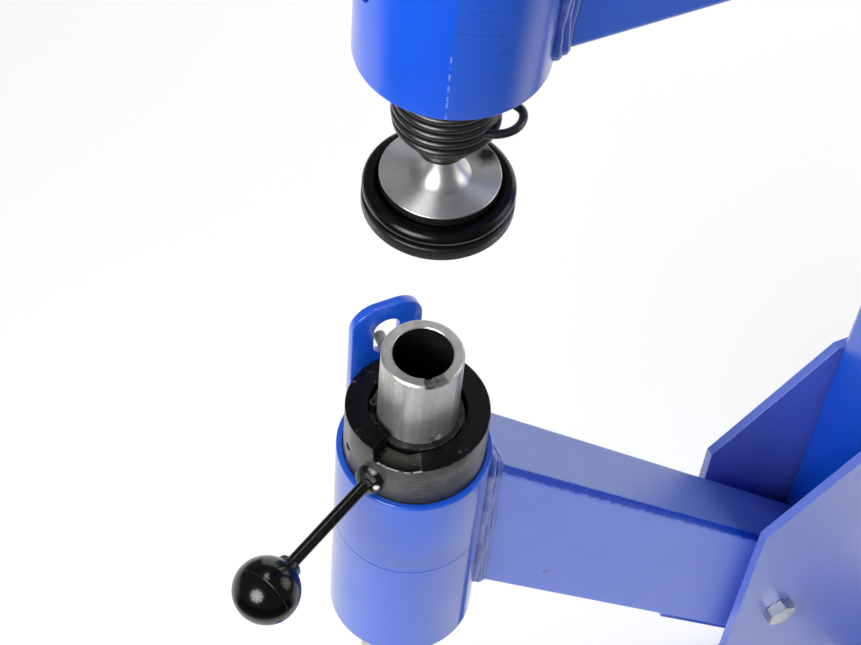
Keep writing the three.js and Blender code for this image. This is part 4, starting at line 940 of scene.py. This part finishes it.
# Lever: a black steel rod welded into the cam ring, with a lumpy weld round its collar.
# It ends in a moulded ball knob screwed on to its thread.
# Radius and place along the lever of each corner, in millimetres.
LEVER_PROFILE = (
    (0, 29.6), (2.9, 29.6), (3.2, 29.9), (3.2, 36.6), (6.6, 36.6), (7, 37), (7, 37.6), (6.3, 38.6),
    (4.2, 39.9), (3.5, 40.5), (3.2, 41.4), (3.2, 117.8), (2.9, 118.1), (0, 118.1))
black_rod = blackened("blackened_rod", 0.002, 0.004, 0.22, 40, 0.02, 0.6, 0.03)
lever = turned([(radius * MM, place * MM) for radius, place in LEVER_PROFILE], 64)
laid(lever, outward(*LEVER))
complete(lever, "lever_rod", "blackened", "cam", black_rod, 35)

# Half sizes of the blob of weld, and for each lump its direction, then its push and width in millimetres.
BLOB = Vector((7.4 * MM, 7 * MM, 4.6 * MM))
LUMPS = ((0.85, 0.1, 0.5, 1.9, 3.4), (-0.2, 0.8, 0.6, 1.5, 3), (-0.7, -0.5, 0.5, 1.6, 3.2),
         (0.3, -0.8, 0.5, 1.3, 2.6), (0.1, 0.1, 1, 0.9, 3.6), (-0.9, 0.4, 0.2, 1.1, 2.4))
only()
bpy.ops.mesh.primitive_ico_sphere_add(subdivisions=5, radius=1, location=(0, 0, 0))
blob = bpy.context.object
edit(blob)
bpy.ops.transform.resize(value=BLOB, center_override=(0, 0, 0))
for x, y, z, push, spread in LUMPS:
    centre = Vector((x, y, z)) * BLOB
    select(lambda place: (place - centre).length < spread * MM, "VERT")
    bpy.ops.transform.translate(
        value=centre.normalized() * push * MM, use_proportional_edit=True,
        proportional_edit_falloff="SMOOTH", proportional_size=3.4 * MM)
laid(blob, outward(*LEVER, 37.6 * MM))

# Places from the datum, and sizes, of the painted highlights on the weld, in millimetres.
PAINTED_WELD_HIGHLIGHTS = (((-32.3, -18.3, 18.6), 3.4), ((-32.6, -24.1, 14.9), 2.2))
look = Look("lever_weld_painted_highlights")
place = look.place()
coat_share_and_weld_highlight = 0
for spot, spread in PAINTED_WELD_HIGHLIGHTS:
    away = look.distance(place, Vector(spot) * MM + Vector((0, 0, DATUM)))
    coat_share_and_weld_highlight = look.math("MAXIMUM", coat_share_and_weld_highlight, look.fade(away, spread * MM, 0.7 * spread * MM))
grit = look.cloud(700)
# Near-white spots on the black weld are painted highlights.
colour = look.mix(coat_share_and_weld_highlight, 0.003, (0.9, 0.88, 0.85))
weld_metal = look.shade(colour, look.ramp(grit, 0.16, 0.32), (grit, 0.4, 0.5))
complete(blob, "lever_weld", "blackened", "cam", weld_metal, 60)

knob_plastic = varied(
    "knob_plastic", (60,), (0.0012, 0.0025), (0.12, 0.2), (0.04, 0.5), (500, 0.05, 0.04, 0.25))

KNOB_RADIUS = 16.58 * MM
KNOB_PLACE = 117.4 * MM
KNOB_NECK = 6.1 * MM
KNOB_HOLE = 3.5 * MM
PARTING = radians(11.5)
mouth = KNOB_PLACE - 18.5 * MM
ball_start = degrees(asin(KNOB_NECK / KNOB_RADIUS)) - 90
profile = [(0, mouth + 20 * MM), (KNOB_HOLE, mouth + 20 * MM), (KNOB_HOLE, mouth + 0.4 * MM), (3.9 * MM, mouth)]
profile += [(KNOB_NECK - 0.6 * MM, mouth), (KNOB_NECK, mouth + 0.6 * MM)]
profile += arc(0, KNOB_PLACE, KNOB_RADIUS, ball_start + 3, 10.8, 40)
profile += [((KNOB_RADIUS - 0.1 * MM) * cos(PARTING), KNOB_PLACE + KNOB_RADIUS * sin(PARTING))]
profile += arc(0, KNOB_PLACE, KNOB_RADIUS, 12.2, 89, 44)
knob = turned(profile + [(0, KNOB_PLACE + KNOB_RADIUS)], 128)
laid(knob, outward(*LEVER))
complete(knob, "ball_knob", "moulded", "cam", knob_plastic, 24)


# Anvil tube: a ground steel tube that slides in the bush, with a chamfered rim and a notch filed in it.
# A cross pin carries it on the cam, and a black circlip limits its travel.
DARK_WEAR_AND_REFLECTION = (0.06, 0.058, 0.055)
PAINTED_HIGHLIGHT = (0.96, 0.95, 0.93)
TUBE_RIM = 76.5 * MM
# Start and end azimuth in degrees, lowest and highest place, strength and colour of each patch. The first is a dark
# worn patch on the rim; the rest, down the side, are painted dark reflections and painted highlights.
TUBE_PATCHES = (
    (-112, -74, TUBE_RIM, 79 * MM, 0.92, DARK_WEAR_AND_REFLECTION), (-179, -160, 0, TUBE_RIM, 0.22, DARK_WEAR_AND_REFLECTION),
    (-113, -92, 0, TUBE_RIM, 0.16, DARK_WEAR_AND_REFLECTION), (-60, -20, 0, TUBE_RIM, 0.28, DARK_WEAR_AND_REFLECTION),
    (-154, -137, 0, TUBE_RIM, 0.55, PAINTED_HIGHLIGHT), (-137, -122, 0, TUBE_RIM, 0.32, PAINTED_HIGHLIGHT))

look = Look("ground_tube_steel")
place, x, y, z = look.coordinates()
streaks = look.cloud(160, 0.3, 0.75, 0.12)
fine = look.cloud(1200, 0.3, 0.7, 0.3)
# The tube is blotchily darker towards the bottom.
darker_towards_bottom = look.times(look.cloud(45, 0.52, 0.72, 0.5), look.fade(z, DATUM + 66 * MM, DATUM + 40 * MM))
colour = look.mix(streaks, (0.54, 0.53, 0.51), (0.74, 0.73, 0.71))
colour = look.over(colour, darker_towards_bottom, 0.45, (0.16, 0.15, 0.14))
colour = look.over(colour, look.grains(300, 0.04), 0.6, 0.1)
patch_noise = look.cloud(240, 0.38, 0.62)
ragged = look.math("ADD", look.math("ARCTAN2", y, x), look.times(patch_noise, 0.05))
mottled = look.fade(patch_noise, 0, 1, 0.5, 1)
# Patches down the side are painted reflections, dark and light.
for start, end, low_place, high_place, depth, tone in TUBE_PATCHES:
    entered = look.fade(ragged, radians(start), radians(start + 2))
    left = look.fade(ragged, radians(end), radians(end - 4))
    level = look.between(z, DATUM + low_place, DATUM + high_place)
    patch = look.times(entered, left, level, look.times(mottled, depth))
    colour = look.mix(patch, colour, tone)
relief = look.math("ADD", fine, streaks)
steel_tube = look.shade(colour, look.ramp(streaks, 0.3, 0.42), (relief, 0.08, 0.3), metallic=0.78)
# A near-black finish for the inside of the tube and the sides of the die's disc and hub.
dark_bore = blackened("near_black_bore_and_die_side", 0.004, 0.012, 0.5, 60, 0.2)

low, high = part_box("anvil_tube")
bottom, top = low.z, high.z
radius, bore = 20.3 * MM, 14.8 * MM
groove_low, groove_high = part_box("circlip")[0].z - 0.3 * MM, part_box("circlip")[1].z + 0.3 * MM
groove_radius = radius - 0.9 * MM
profile = [(bore + 0.4 * MM, bottom), (radius - MM, bottom), (radius, bottom + MM)]
profile += [(radius, groove_low), (groove_radius, groove_low), (groove_radius, groove_high), (radius, groove_high)]
profile += [(radius, top - MM), (radius - 0.7 * MM, top - 0.2 * MM), (radius - MM, top)]
profile += [(bore + 0.5 * MM, top), (bore, top - 0.5 * MM), (bore, bottom + 0.4 * MM), (bore + 0.4 * MM, bottom)]
anvil_tube = turned(profile, 160)
NOTCH_AZIMUTH = -105
NOTCH = Vector((6 * MM, 1.8 * MM, 1.8 * MM))
notch_place = spun(NOTCH_AZIMUTH, "Z") @ at(17.5 * MM, 0, top)
carve(anvil_tube, laid(block(-NOTCH, NOTCH), notch_place))
pin_low, pin_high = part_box("follower_pin")
pin_height = (pin_low.z + pin_high.z) / 2
carve(anvil_tube, laid(rod(3.4 * MM, -25 * MM, 25 * MM), outward(90, pin_height)))
for material in (steel_tube, dark_bore):
    anvil_tube.data.materials.append(material)
assign(anvil_tube, 1, lambda place, normal:
       place.xy.length < bore + 0.3 * MM and place.z < top - MM and normal.xy.dot(place.xy) < 0)
complete(anvil_tube, "anvil_tube", "ground", "anvil", steel_tube, 30)

pin_steel = varied(
    "worn_pin_steel", (300, 0.35), ((0.26, 0.26, 0.25), (0.42, 0.42, 0.41)), (0.45, 0.6), (0.15, 0.3),
    metallic=0.7)
refined("follower_pin", "ground", "anvil", pin_steel, 0.5)
spring_steel = blackened("circlip_steel", 0.01, (0.04, 0.038, 0.034), 0.36, 200, 0.8)
refined("circlip", "blackened", "anvil", spring_steel, 0.2, 2)


# Air hammer: a blackened barrel clamped in the upper sleeve, with a backhead, air inlet and regulator.
# Its piston strikes the shank of the die.
for node, edge in (("hammer_barrel", 0.3), ("backhead", 0.5), ("set_screw_1", 0.2), ("set_screw_2", 0.2)):
    refined(node, "blackened", "frame", black_oxide, edge, 2)
refined("piston", "ground", "piston", steel_tube, 0.3, 2)
refined("inlet_nipple", "plated", "frame", zinc, 0.3, 2)
refined("regulator_knob", "moulded", "regulator", black_plastic, 0.4, 2)


# Retaining spring: a beehive spring coiled from black spring wire, screwed on the barrel's nose.
# Its cone holds the die by the collar, and one turn is drawn out into a finger ear.
WIRE_RADIUS = 1.9 * MM
SPRING_RADIUS = 21.2 * MM
TIP_RADIUS = 8.9 * MM
SPRING_PITCH = 4.6 * MM
TIP_TURNS = 0.75
CONE_TURNS = 3.75
BODY_TURNS = 10
SPRING_BOTTOM = sleeve_end - 59.5 * MM
EAR_TURN = 5.75
EAR_AZIMUTH = radians(-34)
EAR_REACH = 10.4 * MM
# The angle that each side of the ear takes, and how full it is, before and after its tip.
EAR_BEFORE = (radians(37), 1.5)
EAR_AFTER = (radians(18), 0.85)


def spring_point(turn):
    share = min(max((turn - TIP_TURNS) / CONE_TURNS, 0), 1)
    offset = (turn - EAR_TURN) * 2 * pi
    reach, fullness = EAR_BEFORE if offset < 0 else EAR_AFTER
    bow = max(1 - (abs(offset) / reach) ** 2.3, 0) ** fullness
    radius = TIP_RADIUS + (SPRING_RADIUS - TIP_RADIUS) * share + EAR_REACH * bow
    angle = EAR_AZIMUTH + offset
    return Vector((radius * cos(angle), radius * sin(angle), SPRING_BOTTOM + turn * SPRING_PITCH))


turns = TIP_TURNS + CONE_TURNS + BODY_TURNS
path = []
turn = 0
while turn < turns:
    path.append(spring_point(turn))
    turn += 0.004 if abs(turn - EAR_TURN) < 0.14 else 1 / 72
path.append(spring_point(turns))
start_lead = (path[0] - path[1]).normalized() * 2 * WIRE_RADIUS
end_lead = (path[-1] - path[-2]).normalized() * 2 * WIRE_RADIUS
spring = wire("spring_wire", [path[0] + start_lead, *path, path[-1] + end_lead], WIRE_RADIUS)
spring_wire = blackened("black_spring_wire", 0.006, 0.011, 0.34, 60, 0, 1, 0.02)
complete(spring, "retaining_spring", "coiled", "frame", spring_wire, 50)


# Upper die: a turned and polished steel disc with a flared neck and a shank for the air hammer.
# A rubber ring sits round its hub, over a black crowned face that meets the work.
DIE_TOP = sleeve_end - 73.8 * MM
DIE_DARK_PATCH = Vector((22.5 * MM, 1.5 * MM, DIE_TOP))
LATHE_PITCH = 0.7 * MM


def die_finish(name, metallic, anisotropic, roughness=None):
    """Turned steel whose lathe lines stretch its highlights round the axis, with a dark patch that is partly a smudge
    and partly a painted dark reflection.
    """
    look = Look(name)
    place, x, y, z = look.coordinates()
    lathe = look.math("SINE", look.times(look.from_axis(x, y), 2 * pi / LATHE_PITCH))
    smoke = look.cloud(70, 0.35, 0.75)
    colour = look.mix(smoke, (0.86, 0.86, 0.85), (0.97, 0.97, 0.96))
    blur = look.noise(place, 260, 4)
    # A dark patch on the right of the disc top: partly a smudge, partly a painted dark reflection.
    away = look.math("ADD", look.distance(place, DIE_DARK_PATCH), look.times(blur, 5 * MM))
    colour = look.mix(look.fade(away, 11 * MM, 4.5 * MM), colour, 0.05)
    return look.shade(
        colour, roughness or look.ramp(smoke, 0.36, 0.44), (lathe, 0.03, 0.2),
        metallic=metallic, anisotropic=anisotropic, anisotropic_rotation=0.25,
        tangent=look.add("Tangent", direction_type="RADIAL", axis="Z")[0])


SHANK_RADIUS = 6.35 * MM
FLARE_RADIUS = 13.2 * MM
FLARE_HEIGHT = 11.9 * MM
# The angle at which the flare leaves the disc.
FLARE_FOOT = 0.4
COLLAR_RADIUS = 9.4 * MM
DIE_RADIUS = 26.2 * MM
HUB_RADIUS = 25 * MM
DISC = 4.4 * MM
edge = 0.5 * MM
seat_share = (COLLAR_RADIUS + 0.9 * MM + WIRE_RADIUS - TIP_RADIUS) / (SPRING_RADIUS - TIP_RADIUS)
collar = SPRING_BOTTOM + SPRING_PITCH * (TIP_TURNS + CONE_TURNS * seat_share)
collar_top = collar + 8 * MM
shank_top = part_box("upper_die")[1].z
hub_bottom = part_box("die_face")[1].z + 0.3 * MM
profile = [(0, hub_bottom), (HUB_RADIUS, hub_bottom), (HUB_RADIUS, DIE_TOP - DISC)]
profile += arc(DIE_RADIUS - edge, DIE_TOP - DISC + edge, edge, -90, 0, 4)
profile += arc(DIE_RADIUS - edge, DIE_TOP - edge, edge, 0, 90, 5)
for step in range(17):
    angle = FLARE_FOOT + (pi / 2 - FLARE_FOOT) * step / 16
    inward = (sin(angle) - sin(FLARE_FOOT)) / (1 - sin(FLARE_FOOT))
    upward = 1 - cos(angle) / cos(FLARE_FOOT)
    profile.append((FLARE_RADIUS - (FLARE_RADIUS - SHANK_RADIUS) * inward, DIE_TOP + FLARE_HEIGHT * upward))
profile += [(SHANK_RADIUS, collar), (COLLAR_RADIUS - 0.4 * MM, collar), (COLLAR_RADIUS, collar + 0.4 * MM)]
profile += [(COLLAR_RADIUS, collar_top - 0.4 * MM), (COLLAR_RADIUS - 0.4 * MM, collar_top), (SHANK_RADIUS, collar_top)]
profile += [(SHANK_RADIUS, shank_top - 0.5 * MM), (SHANK_RADIUS - 0.5 * MM, shank_top), (0, shank_top)]
die = turned(profile, 160)
die_steel = die_finish("polished_die_steel", 1, 0.5)
for material in (die_steel, dark_bore, die_finish("brushed_die_top", 0.88, 0.92, 0.52)):
    die.data.materials.append(material)
assign(die, 2, lambda place, normal:
       normal.z > 0.95 and place.xy.length > FLARE_RADIUS - 0.1 * MM and place.z > DIE_TOP - MM)
assign(die, 1, lambda place, normal:
       abs(normal.z) < 0.3 and place.xy.length > HUB_RADIUS - MM and place.z < DIE_TOP - 0.6 * MM)
complete(die, "upper_die", "polished", "die", die_steel, 21)

rubber = varied(
    "black_rubber", (240,), (0.0015, 0.004), (0.17, 0.26), (0.05, 0.3), (700, 0.08, 0.08, 0.2),
    specular_ior_level=0.36)
low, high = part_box("die_bumper")
cord_radius = (high.z - low.z) / 2
bumper = turned(arc((high.x - low.x) / 2 - cord_radius, (low.z + high.z) / 2, cord_radius, -180, 180, 48), 160)
complete(bumper, "die_bumper", "moulded", "die", rubber, 40)

CROWN = 3.6 * MM
FACE_ROUND = 1.6 * MM
low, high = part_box("die_face")
flat = (high.x - low.x) / 2 - FACE_ROUND
profile = [(0, low.z)]
for step in range(1, 17):
    share = step / 16
    profile.append((share * flat, low.z + CROWN * share * share))
profile += arc(flat, low.z + CROWN + FACE_ROUND, FACE_ROUND, -80, 0, 6)
profile += arc(flat, high.z - FACE_ROUND, FACE_ROUND, 0, 90, 7)
face = turned(profile + [(0, high.z)], 160)
complete(face, "die_face", "blackened", "die", black_oxide, 30)
